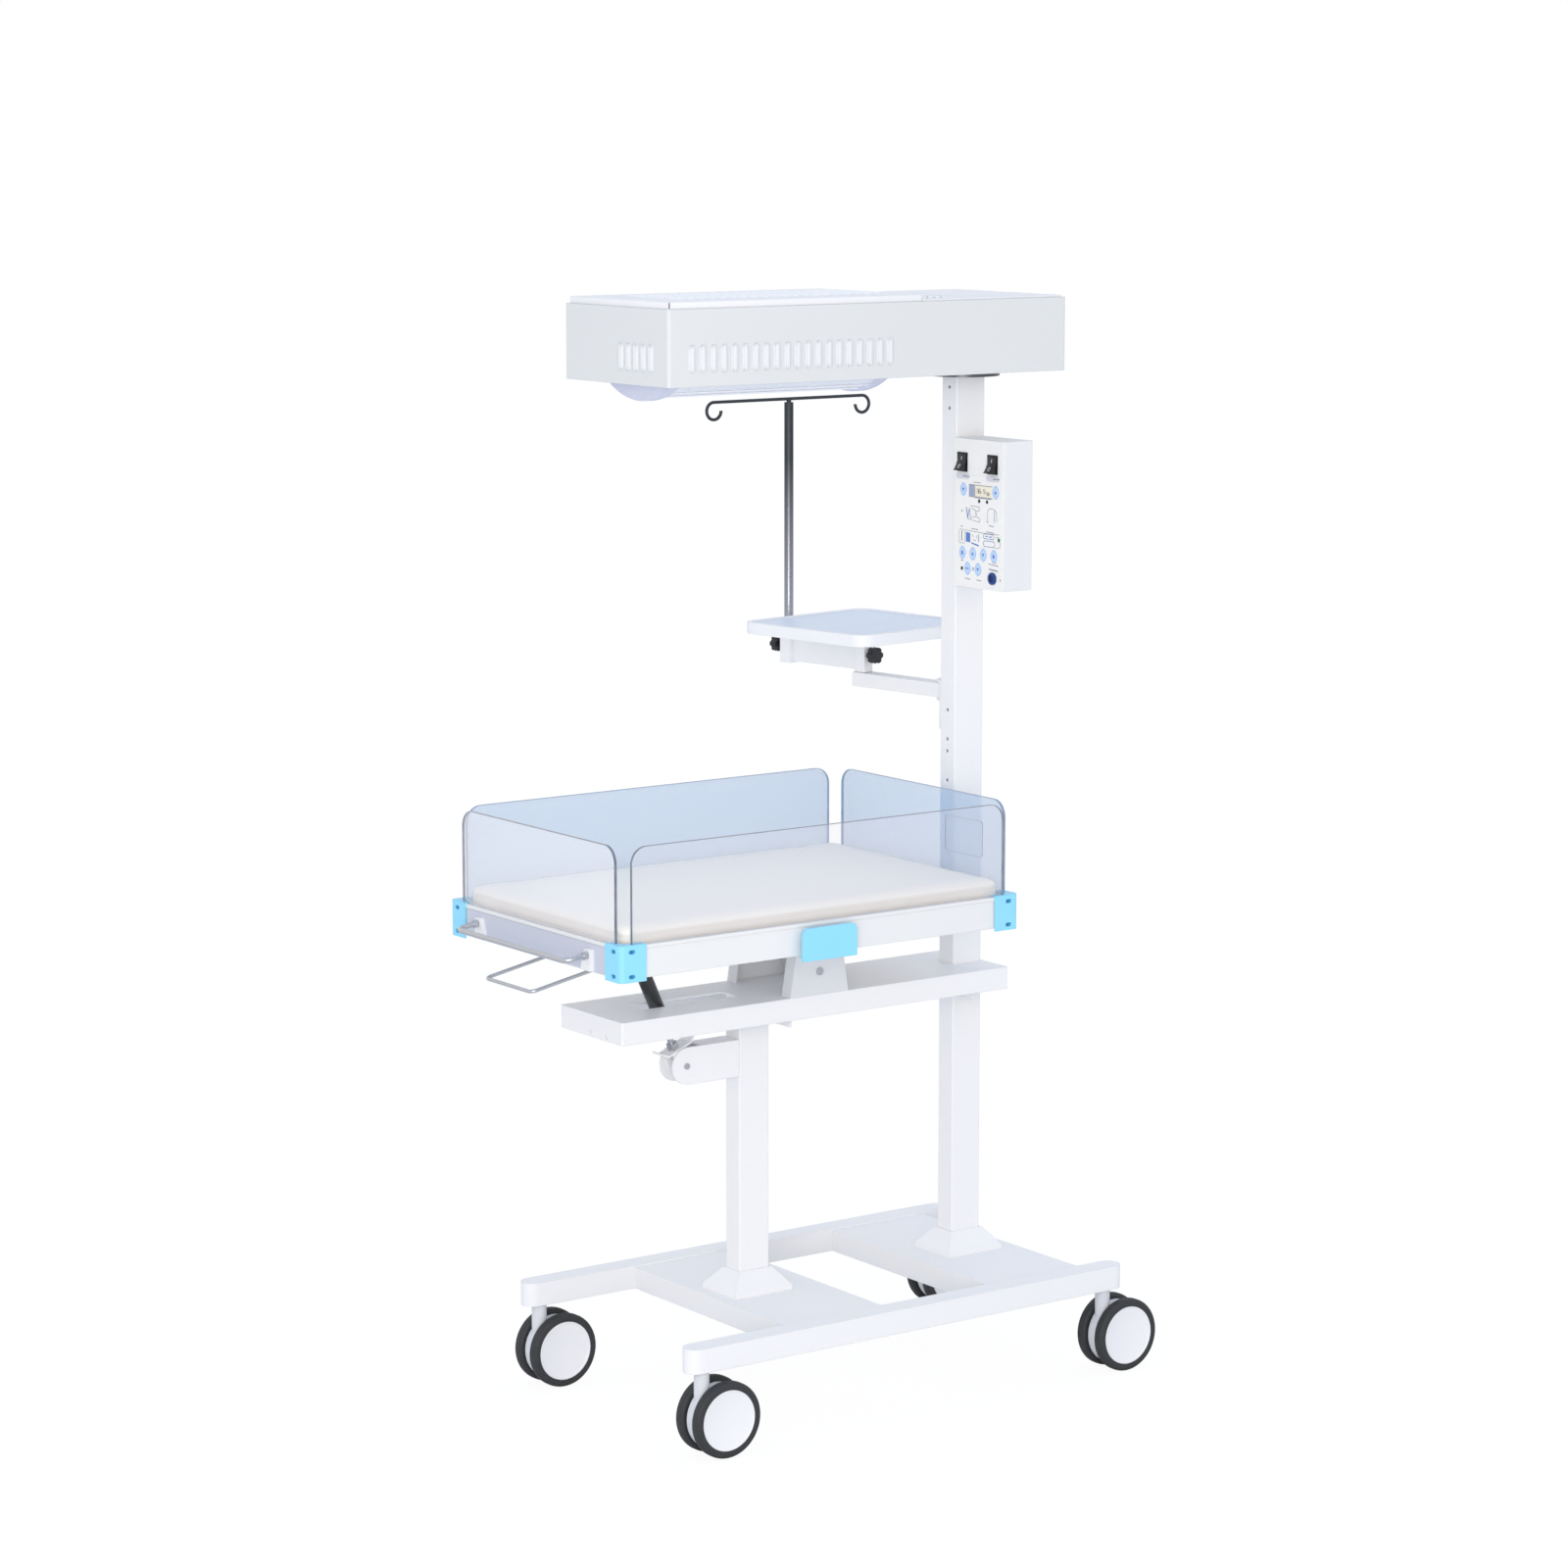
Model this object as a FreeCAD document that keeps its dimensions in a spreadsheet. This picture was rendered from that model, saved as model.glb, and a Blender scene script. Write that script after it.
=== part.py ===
import FreeCAD, Part
import math
import os
import re
import Sketcher
from FreeCAD import Placement, Rotation, Vector

# Infant radiant warmer. Millimetres, +Z up, floor at z = 0.
# Along X the bed's foot end points to -X and the column stands at +X.
# All pieces are drawn about the middle of the wheeled base and then moved together,
# so that the origin lies under the middle of the whole object.

doc = FreeCAD.newDocument("RadiantWarmer")
sheet = doc.addObject("Spreadsheet::Sheet", "Sizes")

baseSizes = {
    "railLong": 890, "railWide": 40, "railHigh": 40, "railWall": 3, "railTop": 184,
    "baseWide": 519, "plateLong": 198, "plateWall": 3, "plateDrop": 3,
    "frontPlateX": -134, "rearPlateX": 280.5, "stemX": 413, "bossRadius": 14, "bossDeep": 30,
}
casterSizes = {
    "wheelRadius": 62.5, "tyreDeep": 12.5, "tyreWide": 19, "wheelGap": 26, "trail": 32,
    "stemRadius": 12.5, "spindleRadius": 6, "spindleHigh": 26, "axleRadius": 5,
    "housingRadius": 54, "housingWide": 20, "stemGap": 0.3, "runFit": 0.05, "tyreRound": 4,
}
postSizes = {
    "postWide": 60, "postThick": 40, "postWall": 3, "legX": -154.6, "columnX": 289,
    "columnTop": 1680, "collarFoot": 8, "collarHigh": 38, "collarReach": 28, "collarLip": 3,
    "beamFront": -461, "beamHalf": 90, "beamTop": 685, "beamHigh": 37.5, "beamWall": 3,
    "slotFront": -378, "slotRear": -190, "slotHalf": 22, "drainRadius": 4, "drainY": -45,
    "saddleHalf": 78, "saddleDrop": 13.5, "saddleThick": 4,
    "lowHoleZ": 999, "middleHoleZ": 1069, "holePitch": 50, "topHoleZ": 1626.5, "topHolePitch": 35,
    "screwRadius": 3,
}
tiltSizes = {
    "tiltX": -73, "tiltZ": 724, "bracketFoot": 59, "bracketHead": 44, "bracketTop": 776,
    "bracketDeep": 25, "bracketWall": 3, "earRound": 8,
    "pinRadius": 5, "pinHeadRadius": 6.5, "pinHeadDeep": 2.5,
    "pinEnd": 2, "earGap": 0.5, "earWall": 3, "earRadius": 14, "earHalf": 28,
}
strutSizes = {
    "strutX": -289, "strutZ": 580, "strutTopX": -373.5, "strutTopZ": 768,
    "armHalf": 20, "armWall": 4, "armTop": 611, "armBottom": 549, "armFront": -316,
    "clevisRear": -255, "armRound": 30, "strutPinRadius": 5,
    "wingRear": 28, "wingFront": 22, "wingWall": 3, "wingHigh": 28,
    "wingTip": 9, "yokeEar": 3, "yokeGap": 0.5, "nutRadius": 10, "nutHigh": 10, "rodRadius": 5,
    "rodTop": 143, "cylinderFoot": 88, "cylinderRadius": 12.5, "cylinderCap": 4,
    "eyeThick": 10, "eyeRadius": 11, "eyeGap": 2, "eyeBore": 8.5, "upperPinRadius": 3.5,
    "strutEarHalf": 7, "wingBevel": 2, "yokeSide": 13,
}
bedSizes = {
    "panFront": -566.5, "panRear": 211, "panHalf": 248, "panBottom": 792.5, "panTop": 844.5,
    "panWall": 2.5, "rimWide": 12.5, "rimHigh": 14, "grooveDeep": 11, "panRound": 6,
    "lipHigh": 6, "lipProud": 1.5,
    "blockWall": 3, "blockAlongX": 48, "blockAlongY": 44, "blockFoot": 788, "blockTop": 846.5,
    "blockReach": 16, "blockRound": 9,
    "recessLong": 12, "recessHigh": 6.5, "recessDeep": 2, "recessInsetX": 21, "recessInsetY": 21,
    "recessLowZ": 797, "recessHighZ": 836,
    "mattressTop": 871, "mattressGap": 3, "mattressRound": 14, "mattressEdge": 12,
    "panelThick": 5, "panelTop": 998, "panelInset": 4, "panelRound": 28, "panelGap": 0.3,
    "panelEndX": 23, "panelEndY": 24,
    "gripLong": 106, "gripTop": 838, "gripFoot": 785, "gripThick": 5, "gripStand": 10, "gripRound": 12,
    "gripTuck": 30, "gripTab": 4, "handleLong": 48, "handleLean": 8.2, "handleZ": 821.5, "handleHalf": 162,
    "handleRadius": 4.5, "handleBend": 16, "handleEnd": 2, "handleFit": 0.1,
    "lugDeep": 8.5, "lugHead": 8, "lugFootZ": 795, "lugFootWide": 28,
    "sleeveRadius": 6.5, "sleeveLong": 7, "sleeveGap": 1.2,
    "leverLong": 139, "leverLean": 10.9, "leverHalf": 68, "leverRadius": 3, "leverBend": 10,
    "leverRoot": 5, "leverEyeHalf": 2.5, "leverPivotX": -480, "leverPivotZ": 777,
    "hingeBlockHalf": 9, "hingeEar": 4, "leverPin": 3, "leverGap": 0.3, "leverEye": 8,
}
hoodSizes = {
    "hoodFront": -406, "hoodRear": 388, "hoodHalf": 147.4, "hoodBottom": 1692, "hoodTop": 1813,
    "hoodWall": 2, "hoodRim": 14, "hoodRound": 6, "lidRear": 93, "lidRise": 11, "lidInset": 6,
    "lidRound": 4,
    "coverRise": 3, "coverGap": 1,
    "louvreCount": 20, "louvrePitch": 20.28, "louvreFrontX": -362.3, "louvreWide": 9, "louvreFoot": 1714,
    "louvreHead": 1756.5, "louvreProud": 3.5, "endLouvreCount": 5, "endLouvrePitch": 20.9,
    "endLouvreY": -98.9, "topLouvreCount": 14, "topLouvrePitch": 27, "topLouvreLong": 36,
    "topLouvreFrontX": -365, "topLouvreProud": 3, "topRowPitch": 62,
    "heaterFront": -358, "heaterRear": 62, "heaterHalf": 92, "heaterDrop": 28, "heaterWall": 3,
    "mirrorHigh": 62, "mirrorWall": 1.5, "mirrorRound": 50, "mirrorLip": 18, "endShoulder": 30,
    "endGap": 8, "quartzRadius": 6.5, "quartzZ": 1677, "wireRadius": 1.5,
    "wirePitch": 26, "guardGap": 0.3, "floorMargin": 8,
    "discRadius": 60, "discHigh": 10, "spindle": 15, "spindleTall": 26, "hubRadius": 40, "hubFlange": 52,
    "hubFlangeHigh": 6, "hubGap": 0.3, "hubHigh": 20,
}
controlSizes = {
    "boxFront": 254, "boxRear": 317, "boxNear": -151, "boxFoot": 1332, "boxTop": 1579, "boxWall": 2,
    "fasciaThick": 3,
    "switchWide": 24, "switchHigh": 30, "switchZ": 1540, "switchNearY": -124, "switchFarY": -44,
    "switchDeep": 12, "bezelWall": 2.5, "bezelProud": 1.5, "bezelLip": 1,
    "rockerProud": 3, "rockerGap": 1, "rockerRise": 2.5, "rockerBack": 2, "rockerBelly": 1,
    "displayY": -93.5, "displayZ": 1493, "displayWide": 60, "displayHigh": 20,
    "keypadThick": 0.6, "keypadMargin": 4, "domeRadius": 7, "domeProud": 0.5,
    "keyRowZ": 1389, "keyRowFarY": -45.4,
    "keyPitch": 28, "keyCount": 4, "lowKeyZ": 1364, "lowKeyFarY": -59.4, "lowKeyCount": 2,
    "sideKeyZ": 1495, "sideKeyFarY": -47.6, "sideKeyNearY": -133.7,
    "socketY": -126, "socketZ": 1352, "socketRadius": 10, "socketBore": 5.5, "socketDeep": 16,
    "socketProud": 3, "socketBarrel": 8, "socketEnd": 2, "windowSink": 0.5, "standRadius": 3,
    "boardInset": 8, "boardThick": 1.6, "boardX": 285,
}
traySizes = {
    "armPivotX": 289, "armPivotY": 44, "armTurn": 8.5, "swingArmTop": 1158, "swingArmHigh": 24,
    "swingArmWide": 30, "swingArmLong": 196, "lugHalfX": 27, "lugRound": 3, "lugPlate": 6,
    "lugPlateFoot": 1083,
    "lugEar": 6, "earClear": 0.3, "trayPinRadius": 6,
    "beamSpan": 185, "carrierFoot": 1158.5, "webFoot": 1161, "webThick": 4, "blockLong": 24,
    "blockWide": 22, "carrierRound": 2, "pivotPin": 6, "pivotHigh": 40, "pivotEnd": 1,
    "trayTop": 1245, "trayThick": 20, "traySide": 298, "trayRound": 30, "traySet": 4,
    "trayRim": 9, "trayDish": 3, "knobRadius": 14, "knobThick": 14, "knobLobes": 6, "knobStem": 4,
    "lobeOut": 2, "lobeRadius": 4.5,
    "knobStandoff": 8, "knobZ": 1189,
    "poleRadius": 8, "poleTop": 1614, "poleFoot": 1158.5, "hookHalf": 159, "hookZ": 1620, "hookRadius": 2.8,
    "hookCurl": 15, "hookNeck": 4,
}


class Size:
    """A number together with the sheet formula that it comes from."""

    def __init__(self, formula, number):
        self.formula = formula
        self.number = float(number)

    def __add__(self, other):
        return combine(self, "+", other)

    def __radd__(self, other):
        return combine(other, "+", self)

    def __sub__(self, other):
        return combine(self, "-", other)

    def __rsub__(self, other):
        return combine(other, "-", self)

    def __mul__(self, other):
        return combine(self, "*", other)

    def __rmul__(self, other):
        return combine(other, "*", self)

    def __truediv__(self, other):
        return combine(self, "/", other)

    def __neg__(self):
        return combine(0, "-", self)


operations = {
    "+": lambda a, b: a + b,
    "-": lambda a, b: a - b,
    "*": lambda a, b: a * b,
    "/": lambda a, b: a / b,
}


def asSize(value):
    return value if isinstance(value, Size) else Size(repr(value), value)


def combine(left, sign, right):
    left = asSize(left)
    right = asSize(right)
    number = operations[sign](left.number, right.number)
    return Size(f"({left.formula} {sign} {right.formula})", number)


def root(value):
    return Size(f"sqrt({value.formula})", math.sqrt(value.number))


def sine(degrees):
    return Size(f"sin({degrees.formula})", math.sin(math.radians(degrees.number)))


def cosine(degrees):
    return Size(f"cos({degrees.formula})", math.cos(math.radians(degrees.number)))


class Names:
    """Holds each cell of the sheet under its alias."""


size = Names()
filledRows = 0


def addCell(alias, text, number):
    global filledRows
    filledRows += 1
    sheet.set(f"A{filledRows}", alias)
    sheet.set(f"B{filledRows}", text)
    sheet.setAlias(f"B{filledRows}", alias)
    setattr(size, alias, Size(alias, number))


def derive(alias, value):
    addCell(alias, "=" + value.formula, value.number)
    return getattr(size, alias)


for group in (baseSizes, casterSizes, postSizes, tiltSizes, strutSizes, bedSizes, hoodSizes,
              controlSizes, traySizes):
    for alias, number in group.items():
        addCell(alias, repr(number), number)
doc.recompute()


def bind(thing, path, value):
    """Sets a property, and ties it to the sheet where the value comes from there."""
    value = asSize(value)
    formula = re.sub(r"\b(?!(?:sqrt|sin|cos)\b)([A-Za-z]\w*)", r"Sizes.\1", value.formula)
    thing.setExpression(path, formula)


# The whole object's reach along X and Y gives the shift to its own middle.
objectFront = size.leverPivotX - cosine(size.leverLean) * size.leverLong - size.leverRadius
objectRear = size.stemX + size.trail + size.wheelRadius
wheelOuter = size.wheelGap / 2 + size.tyreWide
objectNear = -(size.baseWide / 2 - size.railWide / 2 + wheelOuter)
knobReach = (size.swingArmLong + size.beamSpan + size.blockLong / 2
             + size.knobStandoff + size.knobThick)
objectFar = (size.armPivotY + cosine(size.armTurn) * knobReach
             + sine(size.armTurn) * size.knobRadius)
shiftX = derive("shiftX", -(objectFront + objectRear) / 2)
shiftY = derive("shiftY", -(objectNear + objectFar) / 2)
subParts = []


def newBody(label, x=0, y=0, z=0, turn=None):
    """A body whose own origin is placed at x, y, z from the middle of the base."""
    body = doc.addObject("PartDesign::Body", label)
    body.Label = label
    if turn is not None:
        body.Placement = Placement(Vector(), turn)
    bind(body, "Placement.Base.x", asSize(x) + shiftX)
    bind(body, "Placement.Base.y", asSize(y) + shiftY)
    bind(body, "Placement.Base.z", z)
    subParts.append(body)
    return body


def newSketch(body, plane, offset):
    sketch = body.newObject("Sketcher::SketchObject", "Sketch")
    support = [feature for feature in body.Origin.OriginFeatures if feature.Role == plane + "_Plane"]
    sketch.AttachmentSupport = [(support[0], "")]
    sketch.MapMode = "FlatFace"
    offset = asSize(offset)
    sketch.AttachmentOffset = Placement(Vector(0, 0, offset.number), Rotation())
    bind(sketch, "AttachmentOffset.Base.z", offset)
    return sketch


def holdPoint(sketch, geometry, end, x, y):
    for kind, value in (("DistanceX", asSize(x)), ("DistanceY", asSize(y))):
        index = sketch.addConstraint(Sketcher.Constraint(kind, -1, 1, geometry, end, value.number))
        bind(sketch, f"Constraints[{index}]", value)


def drawCircle(sketch, x, y, radius):
    x, y, radius = asSize(x), asSize(y), asSize(radius)
    centre = Vector(x.number, y.number, 0)
    circle = sketch.addGeometry(Part.Circle(centre, Vector(0, 0, 1), radius.number), False)
    holdPoint(sketch, circle, 3, x, y)
    index = sketch.addConstraint(Sketcher.Constraint("Radius", circle, radius.number))
    bind(sketch, f"Constraints[{index}]", radius)


def drawPath(sketch, corners, closed=True):
    """Straight lines through the corners (x, y) or (x, y, radius), rounded where a radius is given."""
    spots = [Vector(asSize(c[0]).number, asSize(c[1]).number, 0) for c in corners]
    rounds = [asSize(c[2]) if len(c) > 2 else None for c in corners]
    count = len(corners)
    if not closed:
        rounds[0] = rounds[-1] = None
    enters = []
    leaves = []
    for i, spot in enumerate(spots):
        if rounds[i] is None:
            enters.append(spot)
            leaves.append(spot)
            continue
        before = (spots[i - 1] - spot).normalize()
        after = (spots[(i + 1) % count] - spot).normalize()
        half = before.getAngle(after) / 2
        back = rounds[i].number / math.tan(half)
        enters.append(spot + before * back)
        leaves.append(spot + after * back)
    lines = []
    for i in range(count if closed else count - 1):
        start, finish = leaves[i], enters[(i + 1) % count]
        lines.append(sketch.addGeometry(Part.LineSegment(start, finish), False))
    for i, corner in enumerate(corners):
        incoming = lines[i - 1] if closed or i > 0 else None
        outgoing = lines[i] if closed or i < count - 1 else None
        if rounds[i] is None:
            if incoming is not None and outgoing is not None:
                sketch.addConstraint(Sketcher.Constraint("Coincident", incoming, 2, outgoing, 1))
            if outgoing is not None:
                holdPoint(sketch, outgoing, 1, corner[0], corner[1])
            else:
                holdPoint(sketch, incoming, 2, corner[0], corner[1])
            continue
        mark = sketch.addGeometry(Part.Point(spots[i]), True)
        holdPoint(sketch, mark, 1, corner[0], corner[1])
        sketch.addConstraint(Sketcher.Constraint("PointOnObject", mark, 1, incoming))
        sketch.addConstraint(Sketcher.Constraint("PointOnObject", mark, 1, outgoing))
        before = (enters[i] - spots[i]).normalize()
        after = (leaves[i] - spots[i]).normalize()
        middle = (before + after).normalize()
        reach = rounds[i].number / math.sin(before.getAngle(after) / 2)
        centre = spots[i] + middle * reach
        turnsLeft = before.cross(after).z < 0
        first, last = (enters[i], leaves[i]) if turnsLeft else (leaves[i], enters[i])
        startAngle = math.atan2(first.y - centre.y, first.x - centre.x)
        endAngle = math.atan2(last.y - centre.y, last.x - centre.x)
        whole = Part.Circle(centre, Vector(0, 0, 1), rounds[i].number)
        arc = sketch.addGeometry(Part.ArcOfCircle(whole, startAngle, endAngle), False)
        arcIn, arcOut = (1, 2) if turnsLeft else (2, 1)
        sketch.addConstraint(Sketcher.Constraint("Tangent", incoming, 2, arc, arcIn))
        sketch.addConstraint(Sketcher.Constraint("Tangent", outgoing, 1, arc, arcOut))
        index = sketch.addConstraint(Sketcher.Constraint("Radius", arc, rounds[i].number))
        bind(sketch, f"Constraints[{index}]", rounds[i])


def box(low, high, y0, y1, radius=None):
    corners = ((low, y0), (high, y0), (high, y1), (low, y1))
    return [corner if radius is None else (*corner, radius) for corner in corners]


def drawLoops(sketch, loops):
    for loop in loops:
        if len(loop) == 3 and not isinstance(loop[0], tuple):
            drawCircle(sketch, *loop)
        else:
            drawPath(sketch, loop)


def addSlab(body, plane, low, high, *loops):
    """Adds the outlines, pushed along the plane's axis from low to high."""
    low, high = asSize(low), asSize(high)
    sketch = newSketch(body, plane, -high if plane == "XZ" else low)
    drawLoops(sketch, loops)
    pad = body.newObject("PartDesign::Pad", "Pad")
    pad.Profile = sketch
    bind(pad, "Length", high - low)
    return pad


def cutSlab(body, plane, low, high, *loops):
    """Cuts the outlines away between low and high along the plane's axis."""
    low, high = asSize(low), asSize(high)
    sketch = newSketch(body, plane, -low if plane == "XZ" else high)
    drawLoops(sketch, loops)
    pocket = body.newObject("PartDesign::Pocket", "Pocket")
    pocket.Profile = sketch
    bind(pocket, "Length", high - low)
    return pocket


def addTurned(body, plane, axis, corners):
    """Adds the outline, turned once round an axis of its own sketch."""
    sketch = newSketch(body, plane, 0)
    drawPath(sketch, corners)
    turned = body.newObject("PartDesign::Revolution", "Revolution")
    turned.Profile = sketch
    turned.ReferenceAxis = (sketch, [axis])
    turned.Angle = 360
    return turned


def addRod(body, plane, offset, path, startPlane, startAt, centre, radius, kind="Additive"):
    """Adds a round rod, or cuts a round bore, along a path drawn on one plane."""
    spine = newSketch(body, plane, offset)
    drawPath(spine, path, closed=False)
    ring = newSketch(body, startPlane, startAt)
    drawCircle(ring, centre[0], centre[1], radius)
    pipe = body.newObject(f"PartDesign::{kind}Pipe", "Pipe")
    pipe.Profile = ring
    pipe.Spine = spine
    return pipe


def repeat(body, feature, axis, pitch, count, reverse=False):
    pattern = body.newObject("PartDesign::LinearPattern", "Pattern")
    pattern.Originals = [feature]
    pattern.Direction = (feature.Profile[0], [axis])
    pattern.Reversed = reverse
    pattern.Mode = "Spacing"
    bind(pattern, "Offset", pitch)
    bind(pattern, "Occurrences", count)
    body.Tip = pattern
    return pattern


def roundTop(body, height, radius):
    """Rounds the edges that lie at a height."""
    doc.recompute()
    tip = body.Tip
    names = [f"Edge{index}" for index, edge in enumerate(tip.Shape.Edges, 1)
             if near(edge.CenterOfMass.z, height)]
    fillet = body.newObject("PartDesign::Fillet", "Fillet")
    fillet.Base = (tip, names)
    bind(fillet, "Radius", radius)
    return fillet


def ordered(first, second):
    return (first, second) if asSize(first).number < asSize(second).number else (second, first)


def near(value, target):
    return abs(value - asSize(target).number) < 0.01


# Wheeled base

halfTurnGap = 0.01
railInner = size.baseWide / 2 - size.railWide
railMiddle = size.baseWide / 2 - size.railWide / 2
railFoot = size.railTop - size.railHigh


def addRail(rails, side):
    """A channel open below, with round ends and a boss for each caster's spindle."""
    middle = side * railMiddle
    half = size.railWide / 2
    reach = size.railLong / 2
    addSlab(rails, "XY", 0, size.railHigh,
            box(-reach, reach, middle - half, middle + half, half - halfTurnGap))
    inner = half - size.railWall
    reach = reach - size.railWall
    cutSlab(rails, "XY", 0, size.railHigh - size.railWall,
            box(-reach, reach, middle - inner, middle + inner, inner - halfTurnGap))
    for end in (-1, 1):
        addSlab(rails, "XY", 0, size.railHigh - size.railWall / 2,
                (end * size.stemX, middle, size.bossRadius))
        cutSlab(rails, "XY", 0, size.bossDeep, (end * size.stemX, middle, size.spindleRadius + size.runFit))


def addCrossPlate(plates, x):
    """A folded plate between the rails, its top a little below theirs."""
    half = size.plateLong / 2
    high = size.railHigh - size.plateDrop
    addSlab(plates, "XY", 0, high, box(x - half, x + half, -railInner, railInner))
    half = half - size.plateWall
    cutSlab(plates, "XY", 0, high - size.plateWall, box(x - half, x + half, -railInner, railInner))


# Casters: each about its own swivel axis, with the wheels trailing to +X

tyreInner = size.wheelRadius - size.tyreDeep


def makeCaster(number, x, y):
    label = f"caster_{number}"
    housing = newBody(f"{label}_housing", x, y, 0)
    addSlab(housing, "XZ", -size.housingWide / 2, size.housingWide / 2,
            (size.trail, size.wheelRadius, size.housingRadius))
    addSlab(housing, "XY", size.wheelRadius - size.housingRadius / 2, railFoot - size.stemGap,
            (0, 0, size.stemRadius))
    addSlab(housing, "XY", railFoot - size.stemGap, railFoot + size.spindleHigh, (0, 0, size.spindleRadius))
    cutSlab(housing, "XZ", -size.stemRadius, size.stemRadius,
            (size.trail, size.wheelRadius, size.axleRadius + size.runFit))
    hubs = newBody(f"{label}_hubs", asSize(x) + size.trail, y, size.wheelRadius)
    inner = size.wheelGap / 2
    outer = inner + size.tyreWide
    addSlab(hubs, "XZ", -inner, inner, (0, 0, size.axleRadius))
    for low, high in ((inner, outer), (-outer, -inner)):
        addSlab(hubs, "XZ", low, high, (0, 0, tyreInner))
    tyres = newBody(f"{label}_tyres", asSize(x) + size.trail, y, size.wheelRadius)
    for side in (-1, 1):
        bevel = size.tyreRound
        addTurned(tyres, "YZ", "H_Axis", [
            (side * inner, tyreInner), (side * outer, tyreInner),
            (side * outer, size.wheelRadius - bevel), (side * (outer - bevel), size.wheelRadius),
            (side * (inner + bevel), size.wheelRadius), (side * inner, size.wheelRadius - bevel)])


rails = newBody("base_rails", 0, 0, railFoot)
for side in (-1, 1):
    addRail(rails, side)
plates = newBody("cross_plates", 0, 0, railFoot)
for x in (size.frontPlateX, size.rearPlateX):
    addCrossPlate(plates, x)
for number, (endX, sideY) in enumerate(((-1, -1), (-1, 1), (1, -1), (1, 1)), 1):
    makeCaster(number, endX * size.stemX, sideY * railMiddle)

# Uprights, collars and the beam that carries the bed

halfWide = size.postWide / 2
halfThick = size.postThick / 2
beamSkin = size.beamTop - size.beamWall
deckTop = size.railTop - size.plateDrop


def makePost(label, x, foot, head):
    post = newBody(label, x, 0, foot)
    addSlab(post, "XY", 0, head - foot, box(-halfWide, halfWide, -halfThick, halfThick, size.postWall),
            box(-halfWide + size.postWall, halfWide - size.postWall,
                -halfThick + size.postWall, halfThick - size.postWall))
    return post


def addCollar(collars, x):
    """A sloped cover round the foot of an upright."""
    wide = halfWide + size.collarReach
    deep = halfThick + size.collarReach
    addSlab(collars, "XY", 0, size.collarFoot, box(x - wide, x + wide, -deep, deep))
    foot = newSketch(collars, "XY", size.collarFoot)
    drawPath(foot, box(x - wide, x + wide, -deep, deep))
    head = newSketch(collars, "XY", size.collarHigh)
    wide = halfWide + size.collarLip
    deep = halfThick + size.collarLip
    drawPath(head, box(x - wide, x + wide, -deep, deep))
    slope = collars.newObject("PartDesign::AdditiveLoft", "Slope")
    slope.Profile = foot
    slope.Sections = [head]
    slope.Ruled = True
    cutSlab(collars, "XY", 0, size.collarHigh, box(x - halfWide, x + halfWide, -halfThick, halfThick))


makePost("front_leg", size.legX, deckTop, beamSkin)
column = makePost("main_column", size.columnX, deckTop, size.columnTop)
for z, pitch in ((size.lowHoleZ, size.holePitch), (size.middleHoleZ, size.holePitch),
                 (size.topHoleZ, size.topHolePitch)):
    cutSlab(column, "YZ", -halfWide, -halfWide + size.postWall,
            (0, z - deckTop, size.screwRadius), (0, z + pitch - deckTop, size.screwRadius))
collars = newBody("post_collars", 0, 0, deckTop)
for x in (size.legX, size.columnX):
    addCollar(collars, x)

beam = newBody("support_beam", 0, 0, 0)
beamRear = size.columnX + halfWide + size.beamWall
beamFoot = size.beamTop - size.beamHigh
addSlab(beam, "XY", beamFoot, size.beamTop,
        box(size.beamFront, beamRear, -size.beamHalf, size.beamHalf, size.beamWall))
cutSlab(beam, "XY", beamFoot, beamSkin,
        box(size.beamFront + size.beamWall, beamRear - size.beamWall,
            -size.beamHalf + size.beamWall, size.beamHalf - size.beamWall))
cutSlab(beam, "XY", beamSkin, size.beamTop,
        box(size.columnX - halfWide, size.columnX + halfWide, -halfThick, halfThick),
        box(size.slotFront, size.slotRear, -size.slotHalf, size.slotHalf, size.beamWall))
cutSlab(beam, "YZ", size.beamFront, size.beamFront + size.beamWall,
        (size.drainY, beamFoot + 2 * size.drainRadius, size.drainRadius))

for low in (size.legX + halfWide, size.columnX - halfWide - size.saddleThick):
    addSlab(beam, "XY", beamFoot - size.saddleDrop, beamSkin,
            box(low, low + size.saddleThick, -size.saddleHalf, size.saddleHalf))

# Tilt brackets on the beam, with the shoulder pins of the tilt axis

bearing = size.pinRadius + size.runFit
earOuter = size.beamHalf - size.bracketWall - size.earGap


def addTiltBracket(bracket, side):
    """A folded plate with sloping flanges on one side of the beam."""
    outer = side * size.beamHalf
    inner = side * (size.beamHalf - size.bracketDeep)
    skin = side * (size.beamHalf - size.bracketWall)
    addSlab(bracket, "XZ", *ordered(outer, inner), [
        (-size.bracketFoot, size.beamTop), (size.bracketFoot, size.beamTop),
        (size.bracketHead, size.bracketTop), (-size.bracketHead, size.bracketTop)])
    wall = size.bracketWall
    cutSlab(bracket, "XZ", *ordered(skin, inner), [
        (-size.bracketFoot + wall, size.beamTop), (size.bracketFoot - wall, size.beamTop),
        (size.bracketHead - wall, size.bracketTop), (-size.bracketHead + wall, size.bracketTop)])
    cutSlab(bracket, "XZ", *ordered(outer, skin), (0, size.tiltZ, bearing))


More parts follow.
